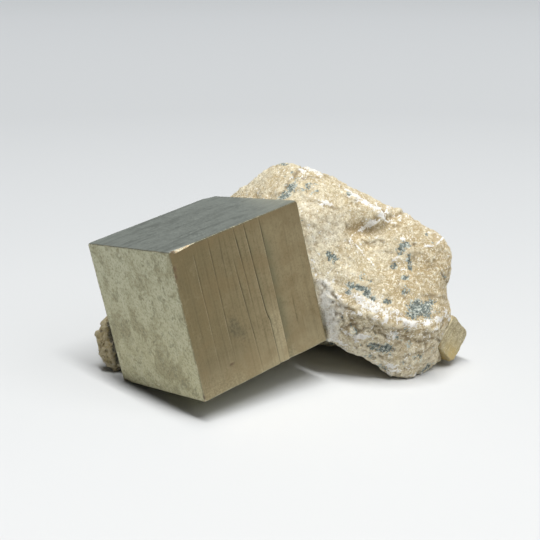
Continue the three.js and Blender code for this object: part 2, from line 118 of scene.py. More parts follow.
BROWN = [
    (-4.5, 6.9, 33.5, 3.65, 1.82, 25, 0.45), (1.3, 6.2, 36.6, 2.54, 1.45, 0, 0.5), (25.7, 2.3, 25.1, 3.98, 2.17, -30, 0.75),
    (28.7, 1.4, 20.2, 1.81, 3.63, 0, 0.75), (28.5, -0.3, 15.8, 1.63, 2.17, 0, 0.55), (21.1, 1.7, 25.8, 2.16, 1.08, 0, 0.35),
    (11, 0.1, 30.7, 2.49, 0.71, -10, 0.45), (7.2, -0.8, 33.1, 2.12, 0.71, -5, 0.4), (14.2, 0.7, 26.4, 3.05, 1.43, 5, 1),
    (16.4, 1.3, 25.7, 1.8, 1.08, -10, 0.9), (11.5, -2.6, 24.4, 1.77, 0.71, 10, 0.6), (13.8, -0.5, 25.3, 2.86, 0.89, 0, 0.9),
    (12.3, 0.1, 28.1, 1.79, 0.89, -20, 0.6), (12.3, -1.7, 25.3, 1.42, 0.53, 15, 0.5), (3.2, 7.3, 36.6, 1.27, 1.09, -35, 0.6),
    (1.9, 7.8, 37.2, 0.91, 0.55, 0, 0.4), (-3.2, 8.8, 35.3, 1.28, 0.55, 35, 0.4), (9, -0.4, 31.7, 2.13, 0.62, -8, 0.4),
    (26.9, 1.1, 22.6, 2.17, 1.81, 0, 0.45), (28.5, 0.7, 19, 1.63, 2.54, 0, 0.35), (19.6, 0.2, 24, 1.8, 0.54, 0, 0.4),
    (29.8, 6.2, 2.4, 1.7, 2.65, 10, 0.45), (26.3, -2.8, 1.7, 1.64, 0.91, 20, 0.5), (12.1, -7.4, 14.1, 1.41, 0.53, -25, 0.4),
    (11.1, -7, 12.4, 1.24, 0.53, -20, 0.35), (24.4, -6.3, 8, 1.78, 0.89, 0, 0.3), (28.4, -1.9, 13.1, 1.62, 0.9, 0, 0.3),
    (11.9, 0.4, 30.6, 1.78, 0.53, -10, 0.5), (-2.3, 5.3, 34.6, 2.17, 0.9, 25, 0.3), (17.9, -8, 12, 1.76, 0.53, -8, 0.35),
    (10, 6.8, 2.4, 1.14, 0.38, -28, 0.4), (3, -4.4, 26, 0.53, 1.76, 0, 0.2), (23.4, -2.9, 17.8, 1.79, 0.89, 0, 0.25),
]
OLIVE = [
    (10.8, -6.9, 12.4, 2.12, 1.24, -25, 0.8), (12.2, -6.8, 10.1, 2.48, 1.42, -10, 0.9), (16.3, -7.4, 9.8, 2.83, 1.59, -5, 0.8),
    (20.7, -7.6, 9.4, 2.83, 1.59, 0, 0.8), (25.4, -6, 7.9, 2.5, 1.61, 0, 0.7), (17.3, -6.5, 6.2, 3.93, 1.61, -8, 0.7),
    (23.7, -6, 4.5, 3.23, 1.61, 0, 0.6), (29.8, 5.3, 1.8, 1.7, 2.64, 0, 0.5), (14.5, -6.2, 6.1, 2.15, 1.07, -20, 0.6),
    (25.8, -6, 10.8, 1.42, 0.71, 0, 0.4), (6.9, -5.6, 17.6, 0.71, 1.41, -25, 0.7), (8.6, -6.2, 15.5, 0.88, 0.88, -35, 0.6),
    (28.3, -4.1, 8.6, 1.44, 0.9, 0, 0.6),
]
FINE = [
    (7.8, -5.9, 15.4, 1.24, 2.3, 0, 1), (8.5, -5.9, 12, 1.42, 2.31, 0, 1), (7.4, -5.6, 18.1, 0.88, 1.06, 0, 0.8),
    (9.1, -5.7, 9.3, 0.89, 1.43, 0, 0.8), (6.5, -5.6, 18.5, 0.53, 0.71, 0, 0.6), (10.2, -6.9, 14.2, 0.88, 1.06, -30, 0.5),
]
# Pale patches: partly pale marl, partly painted light lifting places that sit in shade.
PALE_AND_PAINTED_LIGHT = [
    (7.9, -3.3, 27.9, 3.87, 3.17, 0, 0.9), (5, -4.4, 28.7, 1.57, 4.55, 0, 0.9), (11, -3.2, 23.9, 2.12, 1.77, 0, 0.4),
    (6.2, -5.5, 17.1, 0.88, 1.06, 0, 0.4), (3.7, -2.8, 31.9, 0.88, 1.75, 0, 0.7), (3.8, -4.4, 29.3, 0.87, 2.45, 0, 0.6),
    (4.9, -4.8, 26.1, 1.05, 2.1, 0, 0.55), (5.8, -5.3, 22.2, 1.05, 2.11, 0, 0.6), (-3.8, 4.2, 33, 4.51, 0.9, 0, 0.3),
    (6.4, -3.8, 29.8, 2.45, 1.4, 0, 0.4), (9, -4.9, 20.7, 2.12, 2.12, 0, 0.3), (15.9, -6.3, 15.6, 3.53, 1.41, -25, 0.5),
    (10.9, -4.9, 20.7, 2.47, 1.76, 0, 0.25), (8.3, -3.2, 26.6, 2.47, 2.12, 0, 0.2), (21.9, 2.3, 26.4, 1.81, 1.08, 0, 0.2),
]
CRACKS = [
    ([(3.5, 7.5, 36.5), (2.7, 5.1, 36.1), (1.8, 3.9, 35.5), (1.1, 3, 34.9), (0.4, 1.9, 34.1), (-0.5, 0.5, 33.3), (-1.2, -0, 32.7)], 0.29, 1),
    ([(3.5, 7.5, 36.5), (4.2, 6.5, 36.2), (3.6, 4.9, 35.8), (3.1, 2.9, 35.1), (2.5, 0.9, 34.3), (1.8, -0.8, 33.4)], 0.22, 0.5),
    ([(3.6, 3.7, 35.3), (4.7, 4.1, 35.7), (5.9, 3.6, 35.7), (7, 3.9, 35.7), (8.4, 6.3, 35.3)], 0.2, 0.7),
    ([(3.2, -0.9, 33.5), (3.7, -1.5, 32.9), (4.7, -1.9, 32.5), (6.1, -2, 32.3), (8.3, -1.9, 31.3), (9.7, -1, 30.8), (11.2, 0.4, 30.8)], 0.16, 0.35),
    ([(28.9, 0.7, 18.4), (29.5, 1.2, 17.3), (30.3, 2.4, 15.9)], 0.24, 0.9),
    ([(26, -2.7, 15.1), (27.2, -2, 14.8), (28.7, -0.6, 14.2), (30.1, 1.3, 13.2)], 0.22, 0.45),
    ([(23.6, 0.7, 23.9), (23.9, -0.1, 22.6), (23.5, -0.8, 21.7), (24.2, -1.1, 20.6)], 0.2, 0.8),
    ([(18.1, 3, 29.2), (18.6, 2.5, 28), (18, 1.9, 27.3)], 0.22, 0.8),
    ([(17.3, 4.8, 29.9), (17.5, 2.3, 29.4), (16.7, 1.2, 28.5)], 0.2, 0.6),
    ([(11, -1.1, 28.4), (11.9, -0.6, 27.2), (11.2, -2, 26.1), (11.9, -2.2, 24.8), (13.2, -1.8, 24.2)], 0.2, 0.7),
    ([(14.1, -0.6, 24.9), (15.6, -0.1, 24.2), (17.1, 0.5, 24.6), (18.2, 0.3, 24.3)], 0.2, 0.7),
    ([(18.2, 2, 27.2), (19.7, 2.4, 26.5), (21.2, 2.6, 26.7)], 0.2, 0.5),
    ([(20, -2.1, 19.8), (20.9, -3, 18.9), (20.4, -4.1, 17.8)], 0.18, 0.5),
    ([(10.9, -7.1, 14.5), (12.1, -7.4, 13.9), (13.5, -7.7, 13.2)], 0.25, 0.9),
    ([(11.3, -7, 12.1), (12.9, -7.5, 12.6), (14.6, -7.8, 12.5), (16.4, -7.9, 12), (17.4, -8, 11.1)], 0.21, 0.5),
    ([(12.6, -6.6, 9.3), (14.7, -7.4, 10.5), (16.8, -7.7, 10.2), (18.3, -7.4, 8.8)], 0.21, 0.7),
    ([(10.1, -6.2, 9.9), (11.5, -6.9, 10.9), (12.9, -7.2, 11)], 0.21, 0.7),
    ([(19.2, -8, 10.9), (21.4, -7.6, 10), (23.6, -6.9, 9.9), (25.8, -6.1, 9.3), (27.8, -4.6, 9.1)], 0.19, 0.3),
    ([(29.2, -2, 9.9), (28.5, -3.9, 8.5), (28.4, -3.2, 6.9), (30.1, 5.5, 2.1), (28.9, 0.2, 2.1)], 0.29, 1),
    ([(20.1, -7, 7.4), (22.2, -6.9, 8.1), (24.8, -6.1, 7.6), (27.1, -4.8, 7.7)], 0.21, 0.7),
    ([(21, -6.4, 4.6), (23.1, -6.4, 5.4), (25.4, -5.4, 5.4), (27.4, -3.6, 5.9)], 0.21, 0.7),
    ([(12, -5.8, 6.7), (14.1, -6.1, 6.2), (15.9, -6.2, 5.5), (18.1, -6.3, 4.4), (20.3, -6.4, 3.9)], 0.2, 0.6),
    ([(21.8, -6, 2.6), (24, -5.7, 3.2), (26.3, -4.3, 3.6), (28, -2.2, 4.2)], 0.2, 0.6),
    ([(24.3, -6.7, 10.1), (25.7, -5.9, 8.3), (25.5, -5.3, 6.3), (26.4, -4.5, 4.7)], 0.18, 0.5),
    ([(5.8, -5.6, 19), (6.9, -5.5, 18.5), (7.6, -5.8, 17.6), (8.4, -6.2, 16.8), (9.3, -6.5, 16)], 0.26, 0.8),
    ([(9.7, -6.7, 15.1), (9, -6.4, 14.1), (9.4, -6.4, 13), (8.7, -5.9, 11.5)], 0.18, 0.4),
    ([(30.1, 2.5, 19.9), (30.5, 2.4, 18.8), (30.2, 2.3, 17.7)], 0.18, 0.5),
    ([(21.3, -4.8, 15.8), (22.4, -5, 15.1), (22, -5.8, 14.3)], 0.18, 0.5),
    ([(15.9, -0.8, 23.3), (17, -1, 22.8), (18.5, -0.5, 22.9), (19.6, -0.6, 22.4)], 0.18, 0.4),
    ([(7.9, -3.2, 29), (9, -2.6, 28.1), (10.3, -1.7, 28.2)], 0.16, 0.35),
    ([(10.8, -3.8, 22.9), (11.8, -3.7, 22.5), (12.6, -3.9, 21.6)], 0.16, 0.35),
    ([(25, -0.2, 21.8), (26.1, -0.1, 20.7), (27.3, 0.6, 20.9)], 0.16, 0.4),
]
RIDGES = [
    ([(6.2, -5.6, 18.7), (7.4, -5.7, 17.8), (8.8, -6.3, 16.7), (10, -6.7, 15.7), (11.1, -7.2, 14.7), (12.8, -7.6, 13.9), (14.6, -7.9, 13.3), (16.7, -7.9, 12.6), (18.8, -8, 12), (21, -7.9, 11.6), (22.6, -7.6, 11.3), (25, -6.4, 10.7), (27.4, -4.9, 9.6), (29.1, -3.2, 8.4)], 0.88, 1),
    ([(10.3, 3.9, 33.8), (11.7, 3.2, 32.5), (13.1, 2.5, 31.5), (14.9, 2.1, 30.5), (16.7, 1.6, 29.5), (19, 3.6, 28.9), (21.2, 6, 28.6)], 0.72, 0.7),
    ([(3.6, 2.9, 35.1), (3.9, 0.8, 34.5), (3.3, -0.6, 33.7)], 0.54, 0.4),
    ([(13.8, 0.8, 27.2), (15.2, 0.9, 28.2), (16.7, 1.2, 28.7)], 0.54, 0.6),
]
VEINS = [
    ([(13, -1.8, 24.4), (13.5, -1.9, 23.7), (14.1, -2.2, 22.9), (14.8, -2.1, 22.2), (15.5, -2.6, 21.6), (16, -2.8, 21)], 0.11, 0.9),
    ([(25.8, 1, 23.4), (26.8, 1.2, 23.2), (27.5, 1.6, 23.3), (28.3, 2.5, 23.7), (29.3, 4.5, 23.9)], 0.18, 0.9),
    ([(17, 5.1, 30.1), (17.5, 2.3, 29.4), (18.2, 2, 28.2), (19.2, 3, 27.1), (20.5, 3, 27)], 0.18, 0.9),
    ([(19.2, 5.4, 29.5), (18.2, 2.5, 28.9), (17.3, 1.5, 28.1), (16.2, 1.2, 27.4)], 0.18, 0.8),
    ([(11.2, 3.7, 33.1), (12.5, 4, 32.5), (13.5, 3.2, 31.6), (15, 3.6, 30.9)], 0.18, 0.7),
    ([(21.1, 1, 24.9), (21.6, 0.8, 24.6), (22.1, 0.4, 24.1)], 0.16, 0.8),
    ([(12.3, -2.3, 24.3), (11.9, -1.9, 25.3), (12.7, -0.6, 26.1), (13.8, 0.6, 26.5)], 0.14, 0.6),
    ([(19, 2.1, 26.4), (20.4, 2, 26.1), (22.1, 2.5, 26.5), (23.5, 4, 27.2)], 0.14, 0.5),
    ([(8.3, -0.4, 32.6), (9.8, 0.8, 31.9), (10.9, 1.9, 32.1)], 0.14, 0.4),
    ([(10, -5.5, 19), (10.9, -5.9, 18.2), (10.7, -6.3, 17)], 0.14, 0.4),
    ([(23.7, -1.5, 20), (24.8, -1.4, 19.2), (24.6, -2.1, 18.1)], 0.14, 0.4),
    ([(19.9, -7.5, 12.8), (21.3, -7.6, 12.1), (23.2, -7, 11.7), (25.1, -5.8, 11.6)], 0.16, 0.6),
    ([(10.8, -5.7, 7.2), (12.4, -5.8, 6.5), (14, -6, 6)], 0.14, 0.6),
    ([(16.6, -5.2, 3), (18.6, -5.4, 2.2), (20.4, -5.8, 2.1)], 0.14, 0.6),
    ([(3.3, -1.2, 33.2), (3.6, -3.5, 31.2), (4.2, -4.5, 28.9), (4.7, -4.8, 26.8)], 0.16, 0.5),
    ([(4.9, -5, 25.1), (5.6, -5.3, 22.2), (6.3, -5.5, 19.7)], 0.16, 0.4),
]
LOWER_EDGE = [(6.6, 2.7, 5.5), (8.6, 5.9, 3.4), (10.3, -5.2, 6.2), (12.7, -5.3, 4.7), (15, -5.1, 3.6), (17.1, -5.1, 2.7), (18.7, -5.1, 1.6), (21, -5.1, 0.8), (23.7, -3.7, 0.2), (26.4, -1.6, 0.3), (27.8, -1.4, 1.8), (28.3, -1.2, 3.1), (29.5, 6.2, 2.2), (27.7, -4.3, 7.9), (28.5, -3.6, 9.7), (29.7, -0.7, 10.6)]
# Low steps: points, height of the upper side, how far it dies away.
SCARPS = [
    ([(3.2, -0.9, 33.5), (3.7, -1.5, 32.9), (4.7, -1.9, 32.5), (6.1, -2, 32.3), (8.3, -1.9, 31.3), (9.7, -1, 30.8), (11.2, 0.4, 30.8), (12.4, 1.4, 31.3)], 0.13, 1.5),
    ([(3.4, 3.3, 35.2), (4.7, 3.7, 35.6), (5.9, 3.3, 35.6), (7, 3.4, 35.6), (8.3, 4.3, 35.4)], -0.22, 0.7),
    ([(-1.2, -0, 32.7), (0, 1.2, 33.7), (1.1, 2.7, 34.8), (2.2, 4.4, 35.7), (3.3, 6.8, 36.5)], 0.16, 1.4),
    ([(11.8, 2, 31.8), (13.4, 1.6, 30.8), (15.2, 1, 29.9), (17, 1.3, 29.1), (19.5, 3.9, 28.2), (21.4, 5.2, 28.3)], 0.22, 1.4),
    ([(25.3, -3.2, 15.3), (27.2, -2, 14.8), (28.7, -0.6, 14.2), (30.3, 1.8, 13.1)], 0.1, 1.2),
    ([(10.8, -6.9, 12), (12.9, -7.5, 12.6), (14.6, -7.8, 12.5), (16.4, -7.9, 12), (17.8, -8, 10.9)], 0.12, 1.2),
    ([(19.4, -7.9, 10.7), (21.4, -7.6, 10), (23.6, -6.9, 9.8), (25.8, -6.1, 9.3), (28.3, -4.1, 9)], 0.1, 1.2),
    ([(6.2, -5.6, 18.5), (7.4, -5.8, 17.6), (8.6, -6.3, 16.7), (9.9, -6.7, 15.7), (10.9, -7.1, 14.5)], 0.14, 1.2),
]
POCKETS = [
    (-31.6, -0.2, 6.9, 0.59, 1.65, 8, 1), (-30.8, -1.5, 4.9, 0.55, 1.28, 15, 1), (-30.1, -1.9, 2.1, 0.55, 1.65, 15, 0.9),
    (-32, 0.6, 8.6, 0.55, 0.73, 0, 0.7),
]
# Hollows: as patches, with a depth in mm last.
HOLLOWS = [
    (14.2, 0.6, 26.3, 2.69, 0.9, 3, 0.85), (12.3, -1.7, 25.3, 1.24, 0.71, 20, 0.35), (8.3, -4.6, 23.1, 2.82, 2.11, 0, 0.35),
    (23.5, -1.1, 21, 1.61, 1.61, 0, 0.3), (14.7, -7.4, 10.7, 1.77, 0.71, -5, 0.45), (12.2, -7.2, 11.8, 1.06, 0.53, -20, 0.35),
    (21.5, -7.2, 8.7, 1.77, 0.62, 0, 0.3), (28.8, -3, 7.2, 0.72, 2.17, 0, 0.4), (18.9, -6, 15.4, 1.77, 0.88, 0, 0.25),
    (4.2, 0.1, 34.1, 0.53, 0.71, 0, 0.35), (-31.6, -0.1, 6.7, 0.55, 1.47, 10, 0.9), (-30.6, -1.7, 4.4, 0.55, 1.28, 15, 0.6),
    (26.7, -0.2, 19.6, 0.9, 1.08, 0, 0.25), (15.8, -0.4, 23.8, 1.43, 0.54, 0, 0.3),
]

# ------------------------------------------------------------------ settings
VOXEL = 0.31  # mm
EASE = 7
METAL = 0.85
# Crystal tones per face: partly tarnish, partly painted reflection, each face set lighter or darker for the light it
# mirrors; the stria line tones are painted shade and painted highlight.
TONES = {
    "right_a": (0.262, 0.21, 0.11), "right_b": (0.42, 0.342, 0.198), "right_low": (0.38, 0.315, 0.188), "strip": (0.60, 0.51, 0.32),
    "right_dark": (0.20, 0.162, 0.086), "right_light": (0.44, 0.37, 0.225), "right_green": (0.190, 0.178, 0.105),
    "right_blotch": (0.115, 0.110, 0.075), "right_warm": (0.30, 0.225, 0.115),
    "stria_painted_shade": (0.045, 0.040, 0.024), "stria_painted_highlight": (0.66, 0.58, 0.38),
    "left_low": (0.50, 0.472, 0.30), "left_high": (0.51, 0.50, 0.35), "left_brown": (0.27, 0.235, 0.125),
    "left_grey": (0.33, 0.345, 0.25), "left_dark": (0.20, 0.19, 0.115), "left_light": (0.56, 0.55, 0.40),
    "top": (0.59, 0.64, 0.58), "top_dark": (0.33, 0.36, 0.325), "top_light": (0.66, 0.71, 0.65),
    "edge": (0.24, 0.225, 0.14), "edge_light": (0.55, 0.51, 0.36), "chip": (0.52, 0.48, 0.36), "chip_dark": (0.36, 0.25, 0.14), "pit": (0.10, 0.055, 0.03),
}
R = {
    "flake": (0.93, 0.89, 0.76),
    "beige": (0.60, 0.49, 0.29), "beige2": (0.69, 0.59, 0.375), "tan": (0.47, 0.355, 0.185), "cream": (0.90, 0.84, 0.65),
    "pale": (0.92, 0.87, 0.72), "brown": (0.45, 0.33, 0.155), "olive": (0.60, 0.56, 0.43),
    "fine_dark": (0.87, 0.87, 0.81), "fine_light": (0.97, 0.96, 0.90), "tan_dark": (0.44, 0.34, 0.19),
    "speck": (0.16, 0.12, 0.065), "hollow": (0.42, 0.32, 0.18), "crack": (0.20, 0.155, 0.09),
    "white": (0.95, 0.93, 0.88), "white_dim": (0.78, 0.75, 0.68),
    "grey": (0.30, 0.345, 0.31), "grey_dark": (0.085, 0.105, 0.095), "grey_light": (0.62, 0.65, 0.58), "grey_mid": (0.16, 0.18, 0.165),
    "left_brown": (0.27, 0.21, 0.10), "left_gold": (0.48, 0.38, 0.18), "left_dark": (0.035, 0.033, 0.026), "left_light": (0.56, 0.48, 0.29),
}
# Floor tone by distance from a point just in front of the specimen: painted light falloff, bright near, darker further
# off, lighter again far back.
FLOOR_PAINTED_LIGHT_RAMP = [(0.0, (0.655, 0.662, 0.660, 1)), (1.0, (0.66, 0.685, 0.70, 1)), (0.07, (0.650, 0.660, 0.662, 1)), (0.11, (0.630, 0.642, 0.645, 1)), (0.21, (0.590, 0.605, 0.612, 1)), (0.38, (0.548, 0.565, 0.575, 1)), (0.75, (0.63, 0.652, 0.668, 1))]
# Name, place, long axis, length, width, power.
LIGHTS = [
    ("strip_light", (0.13, -0.42, 2.0), (0.64, -0.77, 0.0), 1.9, 0.26, 56.5),
    ("side_box", (0.95, -0.80, 1.20), (0.65, 0.76, 0.0), 1.1, 1.1, 7.5),
]
WORLD_LOW = (0.50, 0.52, 0.53, 1)
WORLD_HIGH = (0.85, 0.86, 0.87, 1)
WORLD_STRENGTH = 0.09

# ------------------------------------------------------------------ seeded noise in numpy


def _hash(i, j, k, seed):
    h = (i * 73856093) ^ (j * 19349663) ^ (k * 83492791) ^ (seed * 2654435761)
    h &= 0xFFFFFFFF
    h = ((h ^ (h >> 16)) * 0x45D9F3B) & 0xFFFFFFFF
    h = ((h ^ (h >> 16)) * 0x45D9F3B) & 0xFFFFFFFF
    return h ^ (h >> 16)


def noise(p, scale, seed):
    """Gradient noise, about -1 to 1, one blob per scale."""
    q = np.asarray(p, float) / scale + 1000.0
    i = np.floor(q).astype(np.int64)
    f = q - i
    u = f * f * f * (f * (f * 6 - 15) + 10)
    out = np.zeros(len(q))
    for a in (0, 1):
        for b in (0, 1):
            for c in (0, 1):
                h = _hash(i[:, 0] + a, i[:, 1] + b, i[:, 2] + c, seed)
                g = np.stack([(h & 1023), (h >> 10) & 1023, (h >> 20) & 1023], 1) / 511.5 - 1
                d = f - np.array([a, b, c])
                w = (
                    (u[:, 0] if a else 1 - u[:, 0])
                    * (u[:, 1] if b else 1 - u[:, 1])
                    * (u[:, 2] if c else 1 - u[:, 2])
                )
                out += w * (g * d).sum(1)
    return out * 1.5


def fbm(p, scale, octaves, seed, gain=0.5):
    out, amp, total = 0.0, 1.0, 0.0
    for o in range(octaves):
        out = out + amp * noise(p, scale / 2.03**o, seed + 17 * o)
        total += amp
        amp *= gain
    return out / total


def cells(p, scale, seed):
    """Distances to the nearest and second nearest scattered point, in cells, and the nearest one's number 0 to 1."""
    q = np.asarray(p, float) / scale + 1000.0
    i = np.floor(q).astype(np.int64)
    f1 = np.full(len(q), 9.0)
    f2 = np.full(len(q), 9.0)
    who = np.zeros(len(q))
    for a in (-1, 0, 1):
        for b in (-1, 0, 1):
            for c in (-1, 0, 1):
                ii, jj, kk = i[:, 0] + a, i[:, 1] + b, i[:, 2] + c
                h = _hash(ii, jj, kk, seed)
                g = np.stack([(h & 1023), (h >> 10) & 1023, (h >> 20) & 1023], 1) / 1023.0
                d = np.linalg.norm(np.stack([ii, jj, kk], 1) + 0.12 + 0.76 * g - q, axis=1)
                near = d < f1
                f2 = np.where(near, f1, np.minimum(f2, d))
                who = np.where(near, (h % 9973) / 9973.0, who)
                f1 = np.where(near, d, f1)
    return f1, f2, who


def smooth(a, b, x):
    t = np.clip((x - a) / (b - a), 0, 1)
    return t * t * (3 - 2 * t)


# ------------------------------------------------------------------ mesh helpers


def make_object(name, verts_m, faces, attributes=None, flat=False):
    mesh = bpy.data.meshes.new(name)
    mesh.from_pydata(verts_m.tolist(), [], faces.tolist())
    mesh.validate()
    for key, values in (attributes or {}).items():
        a = mesh.attributes.new(key, "FLOAT", "POINT")
        a.data.foreach_set("value", np.asarray(values, np.float32))
    mesh.polygons.foreach_set("use_smooth", np.full(len(mesh.polygons), not flat))
    mesh.update()
    ob = bpy.data.objects.new(name, mesh)
    bpy.context.scene.collection.objects.link(ob)
    return ob


def normals_of(v, quads):
    n = np.zeros_like(v)
    a, b, c, d = (v[quads[:, i]] for i in range(4))
    fn = np.cross(c - a, d - b)
    for i in range(4):
        for k in range(3):
            n[:, k] += np.bincount(quads[:, i], fn[:, k], len(v))
    return n / np.maximum(np.linalg.norm(n, axis=1), 1e-12)[:, None]


def edges_of(quads):
    e = np.concatenate([quads[:, [i, (i + 1) % 4]] for i in range(4)])
    e = np.sort(e, 1)
    return np.unique(e, axis=0)


def relax(v, edges, count, times, amount=0.6):
    for _ in range(times):
        s = np.zeros_like(v)
        for k in range(v.shape[1]):
            s[:, k] = np.bincount(edges[:, 0], v[edges[:, 1], k], len(v)) + np.bincount(
                edges[:, 1], v[edges[:, 0], k], len(v)
            )
        v = v + amount * (s / count[:, None] - v)
    return v


def box_distance(p, origin, axes, dims):
    """Distance outside a crystal's box (negative within) and the outward direction, part frame."""
    q = (p - origin) @ axes.T
    over = np.maximum(np.maximum(-q, q - dims), 0)
    sign = np.where(q < 0, -1.0, 1.0)
    d = np.linalg.norm(over, axis=1)
    inside = np.minimum(q, dims - q)
    k = inside.argmin(1)
    depth = inside[np.arange(len(q)), k]
    out = over * sign
    inner = np.zeros_like(q)
    inner[np.arange(len(q)), k] = np.where(q[np.arange(len(q)), k] < dims[k] / 2, -1.0, 1.0)
    is_in = d < 1e-9
    direction = np.where(is_in[:, None], inner, out / np.maximum(d, 1e-9)[:, None])
    return np.where(is_in, -depth, d), direction @ axes


# ------------------------------------------------------------------ crystals


def samples(length, step, extra=(), edge=(0, 0.04, 0.09, 0.15, 0.23, 0.34, 0.5, 0.72, 1.0, 1.35)):
    a = list(edge) + [length - e for e in edge] + list(np.arange(1.35 + step, length - 1.35, step)) + list(extra)
    a = sorted(x for x in a if 0 <= x <= length)
    keep = [a[0]]
    for x in a[1:]:
        if x - keep[-1] > 0.028:
            keep.append(x)
    keep[-1] = length
    return np.array(keep)


def box_grid(xs, ys, zs):
    nx, ny, nz = len(xs), len(ys), len(zs)

    def key(i, j, k):
        return (i * ny + j) * nz + k

    quads = []

    def face(fix, value, m, n, order):
        a, b = np.meshgrid(np.arange(m - 1), np.arange(n - 1), indexing="ij")
        a, b = a.ravel(), b.ravel()

        def at(p, q):
            w = {0: (np.full_like(p, value), p, q), 1: (p, np.full_like(p, value), q), 2: (p, q, np.full_like(p, value))}[fix]
            return key(*w)

        ring = [at(a, b), at(a + 1, b), at(a + 1, b + 1), at(a, b + 1)]
        if not order:
            ring = ring[::-1]
        quads.append(np.stack(ring, 1))

    face(0, 0, ny, nz, False)
    face(0, nx - 1, ny, nz, True)
    face(1, 0, nx, nz, True)
    face(1, ny - 1, nx, nz, False)
    face(2, 0, nx, ny, False)
    face(2, nz - 1, nx, ny, True)
    q = np.concatenate(quads)
    ids, inv = np.unique(q, return_inverse=True)
    q = inv.reshape(q.shape)
    i, rem = np.divmod(ids, ny * nz)
    j, k = np.divmod(rem, nz)
    return np.stack([xs[i], ys[j], zs[k]], 1), q


def line_at(points, z):
    """Distance across the face of a stria at height z; points are (across, height)."""
    pts = sorted(points, key=lambda t: t[1])
    return np.interp(z, [t[1] for t in pts], [t[0] for t in pts])


# Main striae of the display face: (across, height) points, ridge, (height, drop) pairs, run-out.
STRIAE = [
    ([(19.04, 26.2), (19.08, 20.0), (19.14, 13.0), (19.16, 6.0), (19.08, 0.0)],
     0.050, [(0, .46), (8, .46), (12, .38), (20, .32), (23, .16), (26.2, .06)], 1.9),
    ([(15.66, 26.2), (15.88, 20.0), (16.06, 14.5), (16.24, 10.4), (16.36, 9.3), (16.72, 8.2), (16.76, 4.6), (16.84, 0.0)],
     0.022, [(0, .36), (7.8, .36), (9.4, .15), (14, .18), (20, .20), (24, .13), (26.2, .07)], 1.0),
    ([(12.05, 21.5), (12.24, 16.3), (12.46, 12.6), (12.66, 8.0), (12.84, 3.3), (12.95, 0.0)],
     0.013, [(0, .02), (3, .08), (8, .12), (17, .13), (20, .06), (21.5, 0), (26.2, 0)], 0.7),
    ([(13.44, 26.2), (13.62, 21.6), (13.80, 17.1), (13.9, 12.0), (13.9, 0)],
     0.013, [(0, 0), (13, .02), (16, .10), (22, .15), (25, .12), (26.2, .05)], 0.6),
    ([(7.87, 26.2), (7.85, 20.5), (7.78, 13.7), (7.75, 9.0), (7.8, 0)],
     0.013, [(0, .0), (7, .02), (13, .07), (20, .10), (25, .08), (26.2, .03)], 0.8),
    ([(4.54, 24.2), (4.50, 18.0), (4.55, 13.7), (4.50, 10.5), (4.5, 0)],
     0.024, [(0, 0), (8, .02), (11, .05), (17, .07), (23.5, .06), (24.6, 0), (26.2, 0)], 0.7),
    ([(10.15, 26.2), (9.95, 22.1), (9.8, 15), (9.8, 0)], 0.004, [(0, 0), (13, .0), (18, .04), (22, .07), (26.2, .04)], 0.4),
    ([(22.50, 11.0), (22.52, 5.8), (22.5, 0)], 0.004, [(0, 0), (4.5, .0), (6, .09), (10, .09), (12, .0), (26.2, 0)], 0.35),
    ([(24.0, 26.2), (23.7, 20.0), (23.4, 14.0), (23.2, 0)], 0.002, [(0, 0), (10, .0), (14, .03), (22, .03), (26.2, .01)], 0.5),
    ([(2.35, 26.2), (2.38, 14.0), (2.40, 0)], 0.002, [(0, .02), (9, .04), (17, .02), (26.2, .01)], 0.5),
    ([(17.6, 26.2), (17.75, 14.0), (17.9, 0)], 0.002, [(0, .04), (9, .03), (17, .02), (26.2, .0)], 0.4),
    ([(14.75, 26.2), (14.9, 14.0), (15.1, 0)], 0.002, [(0, .04), (6, .05), (12, .02), (26.2, .02)], 0.4),
    ([(6.25, 26.2), (6.25, 14.0), (6.3, 0)], 0.002, [(0, .02), (9, .03), (17, .03), (26.2, .02)], 0.4),
    ([(11.1, 26.2), (11.2, 14.0), (11.3, 0)], 0.002, [(0, .03), (9, .02), (17, .03), (26.2, .03)], 0.4),
    ([(26.1, 26.2), (26.1, 14.0), (26.2, 0)], 0.002, [(0, .03), (9, .03), (17, .02), (26.2, .01)], 0.5),
]


